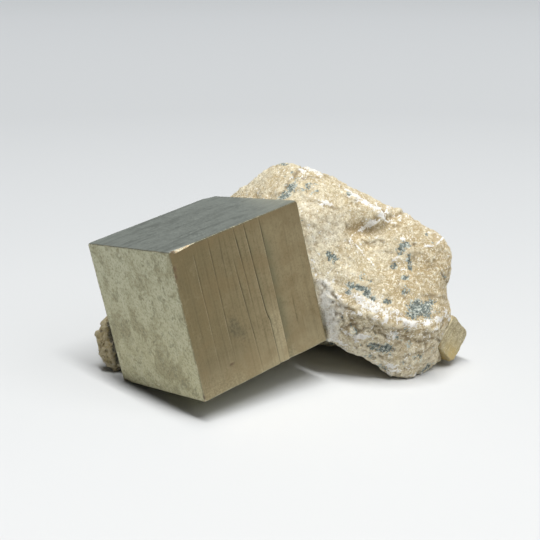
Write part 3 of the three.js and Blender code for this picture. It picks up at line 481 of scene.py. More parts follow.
def display_face(x, z):
    """How far the striated face stands back from the plane, mm."""
    h = np.zeros_like(x)
    for points, ridge, drops, run in STRIAE:
        t = x - line_at(points, z)
        drop = np.interp(z, [d[0] for d in drops], [d[1] for d in drops])
        live = np.clip(drop / max(d[1] for d in drops), 0, 1)
        wob = 0.5 + 0.5 * smooth(-0.3, 0.3, noise(np.stack([np.full_like(z, 5.0), z, z * 0], 1), 3.0, 15))
        h -= ridge * live * wob * np.exp(-(((t + 0.05) / 0.13) ** 2))
        h += drop * smooth(0.0, 0.16, t) * np.exp(-np.maximum(t, 0) / run)
    fine = np.stack([x / 0.55, np.zeros_like(x), z / 14.0], 1)
    h += 0.016 * noise(fine, 1.0, 11) + 0.020 * noise(fine * [0.35, 1, 0.7], 1.0, 12)
    h += 0.010 * noise(fine * [2.2, 1, 2.0], 1.0, 13)
    broad = np.stack([x, z, np.zeros_like(x)], 1)
    h += 0.05 * noise(broad, 9.0, 14)
    # Short grooves at the foot, a pit, and a few grains that stand proud.
    for gx, top, depth in ((4.55, 4.2, 0.05), (6.15, 2.6, 0.07), (8.4, 3.9, 0.04), (10.1, 2.1, 0.05), (11.9, 1.7, 0.04), (13.3, 2.4, 0.04), (20.8, 1.4, 0.05), (22.6, 1.9, 0.04), (24.9, 1.5, 0.04), (3.1, 1.6, 0.04)):
        h += depth * np.exp(-(((x - gx) / 0.11) ** 2)) * smooth(top, top - 1.4, z)
    for px, pz, rx, rz, depth in ((6.98, 4.05, 0.38, 0.16, 0.16), (0.6, 23.3, 0.35, 0.5, 0.16), (0.45, 22.0, 0.25, 0.4, 0.12), (11.16, 3.17, 0.14, 0.14, -0.06), (8.7, 21.42, 0.10, 0.10, -0.04), (12.8, 19.77, 0.12, 0.10, -0.05), (4.34, 22.74, 0.14, 0.12, -0.05)):
        h += depth * np.exp(-(((x - px) / rx) ** 2) - ((z - pz) / rz) ** 2)
    return h


def stria_marks(x, z):
    """Where the striae get painted shade on their steep side and a painted highlight on their crest, and where they run
    out.
    """
    dark, light, run_out = np.zeros_like(x), np.zeros_like(x), np.zeros_like(x)
    for n, (points, ridge, drops, run) in enumerate(STRIAE):
        t = x - line_at(points, z)
        drop = np.interp(z, [d[0] for d in drops], [d[1] for d in drops])
        wob = 0.55 + 0.45 * smooth(-0.35, 0.35, noise(np.stack([np.full_like(z, n * 3.1), z, z * 0], 1), 2.4, 16))
        dark = np.maximum(dark, np.clip(drop / 0.17, 0, 1.2) ** 0.9 * (wob if drop.max() < 0.3 else 1.0) * np.exp(-(((t - 0.15) / 0.135) ** 2)))
        light = np.maximum(light, np.clip(ridge / 0.020, 0, 1) * np.clip(drop / 0.05, 0, 1) * wob * np.exp(-(((t + 0.07) / 0.075) ** 2)))
        run_out += np.clip(drop / 0.30, 0, 1) * smooth(0.1, 0.4, t) * np.exp(-np.maximum(t - 0.2, 0) / (run * 0.8))
    return dark, light, np.clip(run_out, 0, 1)


def plain_face(u, v, seed, relief=1.0):
    """A smooth crystal face: u runs along its faint striae, v across them."""
    p = np.stack([u / 12.0, v / 0.5, np.zeros_like(u)], 1)
    h = 0.008 * noise(p, 1.0, seed) + 0.008 * noise(p * [1.4, 0.4, 1], 1.0, seed + 1)
    q = np.stack([u, v, np.zeros_like(u)], 1)
    h += 0.022 * noise(q, 9.0, seed + 2) + 0.003 * noise(q, 1.6, seed + 3)
    steps = noise(np.stack([u / 9.0, v / 2.6, np.zeros_like(u)], 1), 1.0, seed + 4)
    h += 0.014 * smooth(0.05, 0.09, steps) + 0.010 * smooth(-0.42, -0.38, steps)
    return h * relief


def big_crystal():
    dx, dy, dz = CUBE_DIMS
    near = [line_at(s[0], 13.0) for s in STRIAE[:6]]
    extra = [x + o for x in near for o in (-0.16, -0.10, -0.05, 0.0, 0.04, 0.09, 0.15, 0.24)]
    xs = samples(dx, 0.168, extra)
    ys = samples(dy, 0.33)
    zs = samples(dz, 0.30)
    p, quads = box_grid(xs, ys, zs)
    flat = p.copy()
    on = {
        "left": p[:, 0] < 1e-6, "far": p[:, 0] > dx - 1e-6, "right": p[:, 1] < 1e-6,
        "back": p[:, 1] > dy - 1e-6, "bottom": p[:, 2] < 1e-6, "top": p[:, 2] > dz - 1e-6,
    }
    # Worn edges.
    wear = 0.13 + 0.07 * fbm(p, 2.2, 3, 31)
    wear += 0.10 * smooth(0.35, 0.75, noise(p, 3.1, 33))
    wear = np.clip(wear, 0.06, 0.33)[:, None]
    core = np.clip(p, wear, CUBE_DIMS - wear)
    v = p - core
    p = core + wear * v / np.linalg.norm(v, axis=1)[:, None]
    # Columns follow the striae near the display face.
    lean = np.zeros(len(p))
    knots = [0.0] + sorted(near) + [dx]
    order = sorted(STRIAE[:6], key=lambda s: line_at(s[0], 13.0))
    at = np.stack([np.zeros(len(p))] + [line_at(s[0], flat[:, 2]) for s in order] + [np.full(len(p), dx)], 1)
    seg = np.clip(np.searchsorted(knots, flat[:, 0], side="right") - 1, 0, len(knots) - 2)
    kn = np.array(knots)
    t = (flat[:, 0] - kn[seg]) / (kn[seg + 1] - kn[seg])
    rows = np.arange(len(p))
    lean = at[rows, seg] * (1 - t) + at[rows, seg + 1] * t - flat[:, 0]
    p[:, 0] += lean * smooth(3.0, 0.0, flat[:, 1])
    # Relief of the six faces, each dying away from its own face.
    x, y, z = flat[:, 0] + lean * smooth(3.0, 0.0, flat[:, 1]), flat[:, 1], flat[:, 2]
    d_right = display_face(x, z)
    marks = stria_marks(x, z)
    d_left = plain_face(y, z, 41)
    d_top = plain_face(x, y, 51)
    d_far = plain_face(y, z, 61)
    d_back = plain_face(z, x, 71)
    d_bottom = plain_face(x, y, 81)
    p[:, 1] += d_right * smooth(1.6, 0, y) - d_back * smooth(1.6, 0, dy - y)
    p[:, 0] += d_left * smooth(1.6, 0, x) - d_far * smooth(1.6, 0, dx - x)
    p[:, 2] += d_bottom * smooth(1.6, 0, z) - d_top * smooth(1.6, 0, dz - z)
    # Broken corners and nicks: planes that take off what stands beyond them.
    cuts = [
        ((dx, dy - 1.55, dz), (0.52, 0.80, 0.30), 0.04), ((dx - 2.3, dy, dz), (0.30, 0.90, 0.30), 0.04),
        ((0.50, 0.0, dz), (0.42, -0.60, 0.68), 0.05), ((1.2, 0.0, dz - 0.10), (0.05, -0.72, 0.70), 0.07),
        ((2.1, 0.0, dz - 0.05), (0.16, -0.62, 0.77), 0.06),
        ((0.0, 0.0, dz - 2.6), (-0.70, -0.70, 0.10), 0.05), ((0.28, 0.0, 0.3), (-0.60, -0.62, -0.50), 0.05),
        ((0.0, dy - 2.0, 0.34), (-0.86, 0.10, -0.50), 0.26), ((0.0, dy - 5.2, 0.16), (-0.84, 0.0, -0.54), 0.16),
        ((dx - 0.22, 0.0, dz - 0.3), (0.55, -0.60, 0.58), 0.04), ((0.0, dy - 0.2, dz - 0.25), (-0.6, 0.5, 0.62), 0.04),
    ]
    spans = [None, None, 0.9, 0.8, 1.1, 0.55, None, 1.5, 1.1, None, None]
    chip = np.zeros(len(p))
    rough = fbm(p, 0.8, 3, 91)
    for (c, n, amp), span in zip(cuts, spans):
        c, n = np.array(c, float), unit(n)
        past = (p - c) @ n + amp * rough
        if span is not None:
            past = past - 0.5 * np.maximum(np.linalg.norm(p - c, axis=1) - span, 0)
        hit = past > 0
        p[hit] -= past[hit, None] * n
        chip = np.maximum(chip, smooth(0.0, 0.10, past))
    # Where each vertex lies, for the finish.
    inset = np.minimum(np.minimum(flat, CUBE_DIMS - flat), 9)
    srt = np.sort(inset, 1)
    edge = smooth(0.30, 0.0, srt[:, 1] + 0.10 * fbm(flat, 0.9, 3, 95))
    rows = {
        "f_right": smooth(0.16, 0.0, flat[:, 1]) * (1 - chip * 0.5),
        "f_left": smooth(0.16, 0.0, flat[:, 0]),
        "f_top": smooth(0.16, 0.0, dz - flat[:, 2]),
        "f_under": smooth(0.16, 0.0, flat[:, 2]),
        "edge": edge,
        "chip": chip,
        "pit": np.clip(
            1.3 * np.exp(-(((flat[:, 0] - 6.98) / 0.40) ** 2) - ((flat[:, 2] - 4.05) / 0.18) ** 2) * on["right"]
            + np.exp(-(((flat[:, 0] - 0.5) / 0.3) ** 2) - ((flat[:, 2] - 23.2) / 0.5) ** 2) * on["right"]
            + np.exp(-(((flat[:, 0] - 0.35) / 0.3) ** 2) - ((flat[:, 2] - 22.0) / 0.4) ** 2) * on["right"]
            + 1.2 * np.exp(-(((flat[:, 0] - 0.8) / 0.35) ** 2) - ((flat[:, 2] - dz) / 0.30) ** 2 - ((flat[:, 1] - 0.15) / 0.4) ** 2)
            + np.exp(-((flat[:, 0] / 0.3) ** 2) - ((flat[:, 2] - 0.9) / 0.5) ** 2 - ((flat[:, 1] - 0.1) / 0.25) ** 2), 0, 1),
        "groove": marks[2] * on["right"],
        "stria_painted_shade": marks[0] * on["right"],
        "stria_painted_highlight": marks[1] * on["right"],
        "strip": smooth(11.5, 7.0, z) * smooth(0.22, 0.42, x - line_at(STRIAE[1][0], z)) * smooth(0.0, -0.16, x - line_at(STRIAE[0][0], z)) * on["right"],
        "blotch": (
            np.exp(-(((flat[:, 0] - 9.1) / 1.1) ** 2) - ((flat[:, 2] - 9.9) / 1.9) ** 2)
            + 0.5 * np.exp(-(((flat[:, 0] - 10.6) / 0.9) ** 2) - ((flat[:, 2] - 7.9) / 1.6) ** 2)
        ) * on["right"],
    }
    ob = make_object("pyrite_cube_crystal", p * MM, quads, rows)
    basis = Matrix([[CX[i], CY[i], CZ[i], CUBE_ORIGIN[i] * MM] for i in range(3)] + [[0, 0, 0, 1]])
    ob.matrix_world = basis
    return ob


def little_crystal():
    dims = SMALL_DIMS
    edge = (0, 0.04, 0.09, 0.16, 0.26, 0.4, 0.6, 0.85)
    xs, ys, zs = (samples(d, 0.13, edge=edge) for d in dims)
    p, quads = box_grid(xs, ys, zs)
    flat = p.copy()
    wear = np.clip(0.26 + 0.26 * fbm(p, 1.2, 3, 131), 0.10, 0.7)[:, None]
    core = np.clip(p, wear, dims - wear)
    v = p - core
    p = core + wear * v / np.linalg.norm(v, axis=1)[:, None]
    x, y, z = flat.T

    def face(u, w, seed):
        q = np.stack([u / 4.0, w / 0.34, np.zeros_like(u)], 1)
        h = 0.030 * noise(q, 1.0, seed) + 0.022 * noise(q * [1.3, 0.45, 1], 1.0, seed + 1)
        r = np.stack([u, w, np.zeros_like(u)], 1)
        return h + 0.12 * noise(r, 2.6, seed + 2) + 0.10 * smooth(0.05, 0.15, noise(q * [0.6, 0.3, 1], 1.0, seed + 3)) + 0.05 * noise(r, 0.7, seed + 4)

    p[:, 2] += face(x, y, 141) * smooth(1.0, 0, z) - face(x, y, 151) * smooth(1.0, 0, dims[2] - z)
    p[:, 0] += face(y, z, 161) * smooth(1.0, 0, x) - face(y, z, 171) * smooth(1.0, 0, dims[0] - x)
    p[:, 1] += face(z, x, 181) * smooth(1.0, 0, y) - face(z, x, 191) * smooth(1.0, 0, dims[1] - y)
    chip = np.zeros(len(p))
    rough = fbm(p, 0.6, 3, 137)
    for c, n, amp in (
        ((0.45, 0.0, 0.45), (-0.6, -0.5, -0.6), 0.10), ((0.0, dims[1] - 0.5, 0.5), (-0.5, 0.6, -0.6), 0.10),
        ((dims[0] - 0.6, 0.2, 0.3), (0.6, -0.5, -0.6), 0.12), ((dims[0] - 0.4, dims[1] - 0.5, 0.3), (0.6, 0.5, -0.6), 0.10),
    ):
        n = unit(n)
        past = (p - np.array(c)) @ n + amp * rough
        hit = past > 0
        p[hit] -= past[hit, None] * n
        chip = np.maximum(chip, smooth(0.0, 0.12, past))
    inset = np.sort(np.minimum(flat, dims - flat), 1)
    rows = {
        "edge": smooth(0.40, 0.0, inset[:, 1] + 0.18 * fbm(flat, 0.8, 3, 196)),
        "chip": chip,
        "low": smooth(2.0, 6.5, x) * smooth(6.5, 2.0, y),
    }
    ob = make_object("small_pyrite_crystal_piece", p * MM, quads, rows)
    ob.matrix_world = Matrix([[SX[i], SY[i], SZ[i], SMALL_ORIGIN[i] * MM] for i in range(3)] + [[0, 0, 0, 1]])
    return ob


# ------------------------------------------------------------------ rock

ALONG, ACROSS, INTO = RIGHT, UPWARD, INWARD


def patch_mask(p, rows, ragged, softness=0.55, reach=2.2):
    """0 to 1 over the listed patches, with ragged outlines."""
    out = np.zeros(len(p))
    for x, y, z, rx, ry, turn, strength in rows:
        d = p - np.array([x, y, z])
        near = np.abs(d).max(1) < 2.2 * max(rx, ry) + 1.2
        if not near.any():
            continue
        e = d[near]
        a, b, c = e @ ALONG, e @ ACROSS, e @ INTO
        ct, st = math.cos(math.radians(turn)), math.sin(math.radians(turn))
        u, v = a * ct + b * st, -a * st + b * ct
        r = np.sqrt((u / rx) ** 2 + (v / ry) ** 2 + (c / (reach * max(rx, ry, 0.8))) ** 2)
        m = strength * smooth(1.0 + softness, 1.0 - softness, r + ragged[near])
        out[near] = np.maximum(out[near], m)
    return out


def line_distance(p, points):
    """Distance from each vertex to a line of points, and how far it lies above it in the display plane."""
    best = np.full(len(p), 99.0)
    side = np.zeros(len(p))
    pts = np.array(points, float)
    near = np.ones(len(p), bool)
    lo_, hi_ = pts.min(0) - 6, pts.max(0) + 6
    near = ((p > lo_) & (p < hi_)).all(1)
    q = p[near]
    b_ = np.full(len(q), 99.0)
    s_ = np.zeros(len(q))
    for a, b in zip(pts[:-1], pts[1:]):
        ab = b - a
        t = np.clip((q - a) @ ab / max(ab @ ab, 1e-9), 0, 1)
        off = q - (a + t[:, None] * ab)
        flatd = off - np.outer(off @ INTO, INTO) * 0.75
        d = np.linalg.norm(flatd, axis=1)
        n = np.cross(INTO, unit(ab))
        if n @ ACROSS < 0:
            n = -n
        take = d < b_
        b_ = np.where(take, d, b_)
        s_ = np.where(take, off @ n, s_)
    best[near] = b_
    side[near] = s_
    return best, side


def line_mask(p, rows, wiggle, widen=1.0):
    out = np.zeros(len(p))
    for points, width, strength in rows:
        d, _ = line_distance(p, points)
        out = np.maximum(out, strength * np.exp(-(((d + wiggle * 0.35) / (width * widen)) ** 2)))
    return out


def rock_piece():
    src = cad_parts["matrix_rock"].data
    n = len(src.vertices)
    co = np.zeros(n * 3)
    src.vertices.foreach_get("co", co)
    co = co.reshape(-1, 3) / MM
    faces = [list(f.vertices) for f in src.polygons]
    temp_mesh = bpy.data.meshes.new("rock_tmp")
    temp_mesh.from_pydata(co.tolist(), [], faces)
    temp = bpy.data.objects.new("rock_tmp", temp_mesh)
    bpy.context.scene.collection.objects.link(temp)
    import bmesh

    bm = bmesh.new()
    bm.from_mesh(temp_mesh)
    bmesh.ops.remove_doubles(bm, verts=bm.verts, dist=1e-4)
    bm.to_mesh(temp_mesh)
    bm.free()
    mod = temp.modifiers.new("remesh", "REMESH")
    mod.mode = "VOXEL"
    mod.voxel_size = VOXEL
    mod.adaptivity = 0.0
    dg = bpy.context.evaluated_depsgraph_get()
    made = temp.evaluated_get(dg).to_mesh()
    nv = len(made.vertices)
    v = np.zeros(nv * 3)
    made.vertices.foreach_get("co", v)
    v = v.reshape(-1, 3)
    quads = np.array([list(f.vertices) for f in made.polygons if len(f.vertices) == 4], np.int64)
    temp.evaluated_get(dg).to_mesh_clear()
    bpy.data.objects.remove(temp)
    edges = edges_of(quads)
    count = np.bincount(edges.ravel(), minlength=nv).astype(float)

    cube = (CUBE_ORIGIN, np.stack([CX, CY, CZ]), CUBE_DIMS)
    small = (SMALL_ORIGIN, np.stack([SX, SY, SZ]), SMALL_DIMS)
    dc, _ = box_distance(v, *cube)
    ds, _ = box_distance(v, *small)
    wall = smooth(0.62, 0.36, np.minimum(dc, ds))  # inside a socket
    ground = smooth(0.35, 0.05, v[:, 2])  # on the surface the rock rests on

    # Ease the coarse facets of the solid, keeping the sockets' walls and the flat base.
    eased = relax(v, edges, count, EASE)
    v = v + (eased - v) * (1 - np.maximum(wall, ground))[:, None]
    nrm = normals_of(v, quads)
    base = v.copy()

    # Which part of the rock a vertex belongs to.
    ragged = 0.45 * fbm(base, 1.1, 3, 201, 0.6) + 0.25 * noise(base, 0.45, 202)
    wig = fbm(base, 0.9, 2, 203)
    front = smooth(-0.15, 0.25, -(nrm @ INTO))
    grey = patch_mask(base, GREY, ragged)
    white = patch_mask(base, WHITE, ragged * 1.1)
    brown = patch_mask(base, BROWN, ragged, 0.8)
    olive = patch_mask(base, OLIVE, ragged * 0.6, 0.8)
    fine = patch_mask(base, FINE, ragged * 0.35, 0.45)
    pale = patch_mask(base, PALE_AND_PAINTED_LIGHT, ragged * 0.6, 0.9)
    crack = line_mask(base, CRACKS, wig)
    crack_wide = line_mask(base, CRACKS, wig, 2.6)
    ridge = line_mask(base, RIDGES, wig)
    vein = line_mask(base, VEINS, wig)
    left_end = smooth(-22.5, -28.5, base[:, 0] + 1.6 * fbm(base, 3.0, 3, 209)) * smooth(16, 13, base[:, 2]) * smooth(12.0, 6.0, base[:, 1])
    pocket = patch_mask(base, POCKETS, ragged * 0.6, 0.5, 6.0)

    # The unseen back and underside get the same grains by chance.
    away = 1 - smooth(-0.55, 0.05, -(nrm @ INTO))
    away = np.maximum(away, smooth(-0.25, -0.6, nrm[:, 2]) * smooth(6, 3, base[:, 2]))
    spots = fbm(base, 4.6, 3, 211, 0.6)
    grey = np.maximum(grey, away * smooth(0.26, 0.40, spots + 0.10 * ragged))
    spots = fbm(base, 5.6, 3, 221, 0.6)
    white = np.maximum(white, away * 0.9 * smooth(0.30, 0.44, spots + 0.10 * ragged))
    seam = np.abs(fbm(base, 11.0, 3, 231, 0.5))
    vein = np.maximum(vein, away * smooth(0.016, 0.004, seam) * smooth(-0.05, 0.35, noise(base, 4.5, 233)))
    spots = fbm(base, 9.0, 3, 241, 0.5)
    brown = np.maximum(brown, away * 0.7 * smooth(0.10, 0.40, spots))
    olive = np.maximum(olive, away * 0.7 * smooth(0.12, 0.40, -spots))
    olive = np.maximum(olive, 0.6 * smooth(0.0, -0.6, nrm[:, 2]))
    low = smooth(0.25, 0.8, olive) * front
    # The broken lower part is a jumble of calcite, grey-green grains and marl.
    jumble = fbm(base, 1.9, 3, 251, 0.6)
    grey = np.maximum(grey, low * 0.95 * smooth(0.22, 0.36, jumble + 0.08 * ragged))
    jumble = fbm(base, 1.7, 3, 261, 0.6)
    white = np.maximum(white, low * 0.95 * smooth(0.12, 0.28, jumble + 0.08 * ragged))
    white = np.maximum(white, ridge * 0.95 * smooth(-0.02, 0.22, jumble))

    # Relief, mm along the surface normal.
    h = 0.20 * fbm(base, 7.0, 3, 301) + 0.20 * fbm(base, 2.6, 2, 309)
    f1, f2, who = cells(base + 0.5 * np.stack([noise(base, 2.0, 305 + k) for k in range(3)], 1), 2.5, 303)
    chunk = (who - 0.5) * smooth(0.02, 0.22, f2 - f1)
    rim = smooth(0.55, 0.15, np.abs(nrm @ INTO)) * (1 - away * 0.5)
    h += (0.15 + 0.09 * low + 0.30 * rim + 0.22 * away) * chunk + (0.07 + 0.12 * rim + 0.12 * away) * (0.45 - f1)
    h += away * 0.32 * fbm(base, 4.0, 2, 311)
    f1, f2, who = cells(base + 0.3 * np.stack([noise(base, 1.1, 315 + k) for k in range(3)], 1), 1.15, 313)
    h += (0.10 + 0.18 * low + 0.10 * rim) * (0.45 - f1) + (0.09 + 0.12 * low + 0.12 * rim) * (who - 0.5) * smooth(0.02, 0.14, f2 - f1)
    g1, g2, gwho = cells(base, 0.62, 323)
    h += (0.09 + 0.14 * low) * (0.45 - g1) + (0.05 + 0.12 * low) * (gwho - 0.5) * smooth(0.02, 0.2, g2 - g1)
    grain = fbm(base, 0.75, 2, 331)
    h += (0.07 + 0.06 * low) * grain * (1 - 0.5 * fine)
    # Layers of the lower face run parallel to the rock's lower edge.
    d_low, _ = line_distance(base, LOWER_EDGE)
    phase = d_low / 1.05 + 0.75 * fbm(base, 3.2, 2, 341)
    saw = phase - np.floor(phase)
    bark = smooth(0.0, 0.75, saw) * smooth(1.0, 0.86, saw)
    h += low * (0.09 * (bark - 0.5)) * (0.4 + 0.9 * smooth(-0.4, 0.4, noise(base, 2.3, 342)))
    c1, c2, cwho = cells(base, 1.7, 345)
    h += low * (0.50 * (cwho - 0.5) * smooth(0.0, 0.12, c2 - c1) + 0.20 * (0.4 - c1))
    phase2 = d_low / 0.42 + 0.9 * fbm(base, 2.0, 2, 343)
    h += low * 0.03 * np.sin(2 * np.pi * phase2)
    # The left end is more strongly modelled.
    l1, l2, lwho = cells(base + 0.4 * np.stack([noise(base, 1.4, 395 + k) for k in range(3)], 1), 1.6, 393)
    h += left_end * (0.55 * fbm(base, 2.6, 2, 397) + 0.50 * (lwho - 0.5) * smooth(0.0, 0.14, l2 - l1) + 0.16 * (0.4 - l1))
    h -= 0.55 * pocket * left_end
    # Features.
    gate = smooth(-0.35, 0.35, noise(base, 1.3, 207))
    h -= (0.30 * crack + 0.03 * crack_wide) * (0.25 + 0.75 * gate)
    h += ridge * (0.06 + 0.34 * noise(base, 1.3, 351) + 0.30 * (who - 0.5))
    h -= grey * (0.14 + 0.16 * (g1 - 0.45))
    w1, w2, wwho = cells(base, 0.95, 361)
    h += white * (0.14 + 0.34 * (wwho - 0.5) * smooth(0.0, 0.3, w2 - w1))
    h += 0.10 * vein
    for points, amount, reach in SCARPS:
        d, side = line_distance(base, points)
        ends = smooth(reach * 1.6, reach * 0.4, d)
        h += amount * ends * (smooth(-0.12, 0.22, side) * np.exp(-np.maximum(side, 0) / reach))
        # A painted shade line along the foot of each step, carried in the crack mask.
        crack = np.maximum(crack, 0.5 * ends * np.exp(-((side / 0.28) ** 2)))
    for x, y, z, rx, ry, turn, depth in HOLLOWS:
        h -= depth * patch_mask(base, [(x, y, z, rx, ry, turn, 1.0)], ragged * 0.3, 0.9)
    free = (1 - wall) * (1 - ground)
    v = base + nrm * (h * free)[:, None]
    # Fine fracture relief on the new surface.
    nrm2 = normals_of(v, quads)
    k1, k2, kwho = cells(v, 0.42, 375)
    h2 = (0.06 + 0.07 * low) * fbm(v, 0.6, 2, 371) + (0.05 + 0.05 * low) * noise(v, 0.40, 373) + (0.07 + 0.08 * low) * (kwho - 0.5)
    v = v + nrm2 * (h2 * free)[:, None]

    # The rock closes on the crystals, leaving a hairline.
    for boxdef in (cube, small):
        d, out = box_distance(v, *boxdef)
        close = smooth(1.0, 0.36, d) * (d > 0)
        v = v - out * (close * 0.20)[:, None]
        d, out = box_distance(v, *boxdef)
        short = np.maximum(0.07 - d, 0) * (d > -1.5)
        v = v + out * short[:, None]
    v[:, 2] = np.maximum(v[:, 2], 0.0)

    # Hollow and proud spots, for the colour.
    mean = relax(v, edges, count, 5, 0.9)
    nrm3 = normals_of(v, quads)
    bend = ((mean - v) * nrm3).sum(1)
    cavity = np.clip(bend / 0.10, -1, 1)
    lum_rows = {
        "grey": grey, "white": white, "brown": brown, "olive": olive, "fine": fine, "pale": pale,
        "crack": np.clip(crack + 0.25 * crack_wide, 0, 1), "vein": vein, "cavity": cavity,
        "grain": gwho, "front": front, "left_end": left_end, "pocket": pocket,
    }
    return make_object("marl_matrix", v * MM, quads, lum_rows)


# ------------------------------------------------------------------ materials


class Nodes:
    """A small helper that adds shader nodes and links them."""

    def __init__(self, name):
        self.mat = bpy.data.materials.new(name)
        self.mat.use_nodes = True
        self.t = self.mat.node_tree
        self.bsdf = self.t.nodes["Principled BSDF"]
        self.coord = self.t.nodes.new("ShaderNodeTexCoord").outputs["Object"]

    def link(self, a, b):
        if isinstance(a, (int, float)):
            b.default_value = a
        elif isinstance(a, tuple):
            b.default_value = a if len(a) == 4 or b.type == "VECTOR" else (*a, 1.0)
        else:
            self.t.links.new(a, b)

    def attr(self, name):
        n = self.t.nodes.new("ShaderNodeAttribute")
        n.attribute_name = name
        return n.outputs["Fac"]

    def scaled(self, sx, sy, sz):
        n = self.t.nodes.new("ShaderNodeMapping")
        n.inputs["Scale"].default_value = (sx, sy, sz)
        self.link(self.coord, n.inputs["Vector"])
        return n.outputs["Vector"]

    def leaning(self, sx, sy, sz):
        """The same as scaled, turned to the lie of the rock's flakes."""
        n = self.t.nodes.new("ShaderNodeMapping")
        n.inputs["Rotation"].default_value = (0.3, 0.7, 0.4)
        self.link(self.coord, n.inputs["Vector"])
        k = self.t.nodes.new("ShaderNodeMapping")
        k.inputs["Scale"].default_value = (sx, sy, sz)
        self.link(n.outputs["Vector"], k.inputs["Vector"])
        return k.outputs["Vector"]

    def noise(self, scale, detail=2.0, rough=0.55, vector=None, distortion=0.0):
        n = self.t.nodes.new("ShaderNodeTexNoise")
        n.inputs["Scale"].default_value = scale
        n.inputs["Detail"].default_value = detail
        n.inputs["Roughness"].default_value = rough
        n.inputs["Distortion"].default_value = distortion
        self.link(vector or self.coord, n.inputs["Vector"])
        return n.outputs["Fac"]

    def voronoi(self, scale, feature="F1", out="Distance", vector=None):
        n = self.t.nodes.new("ShaderNodeTexVoronoi")
        n.feature = feature
        n.inputs["Scale"].default_value = scale
        self.link(vector or self.coord, n.inputs["Vector"])
        return n.outputs[out]

    def math(self, op, a, b=0.0, c=None, clamp=False):
        n = self.t.nodes.new("ShaderNodeMath")
        n.operation = op
        n.use_clamp = clamp
        self.link(a, n.inputs[0])
        self.link(b, n.inputs[1])
        if c is not None:
            self.link(c, n.inputs[2])
        return n.outputs[0]

    def remap(self, x, a, b, c=0.0, d=1.0):
        n = self.t.nodes.new("ShaderNodeMapRange")
        n.interpolation_type = "SMOOTHSTEP"
        self.link(x, n.inputs["Value"])
        for key, value in (("From Min", a), ("From Max", b), ("To Min", c), ("To Max", d)):
            n.inputs[key].default_value = value
        return n.outputs["Result"]

    def mix(self, f, a, b, mode="MIX"):
        n = self.t.nodes.new("ShaderNodeMix")
        n.data_type = "RGBA"
        n.blend_type = mode
        n.clamp_factor = True
        self.link(f, n.inputs[0])
        self.link(a, n.inputs[6])
        self.link(b, n.inputs[7])
        return n.outputs[2]

    def bump(self, height, strength, distance, normal=None):
        n = self.t.nodes.new("ShaderNodeBump")
        n.inputs["Strength"].default_value = strength
        n.inputs["Distance"].default_value = distance
        self.link(height, n.inputs["Height"])
        if normal is not None:
            self.link(normal, n.inputs["Normal"])
        return n.outputs["Normal"]

    def set(self, **kw):
        for key, value in kw.items():
            self.link(value, self.bsdf.inputs[key.replace("_", " ")])


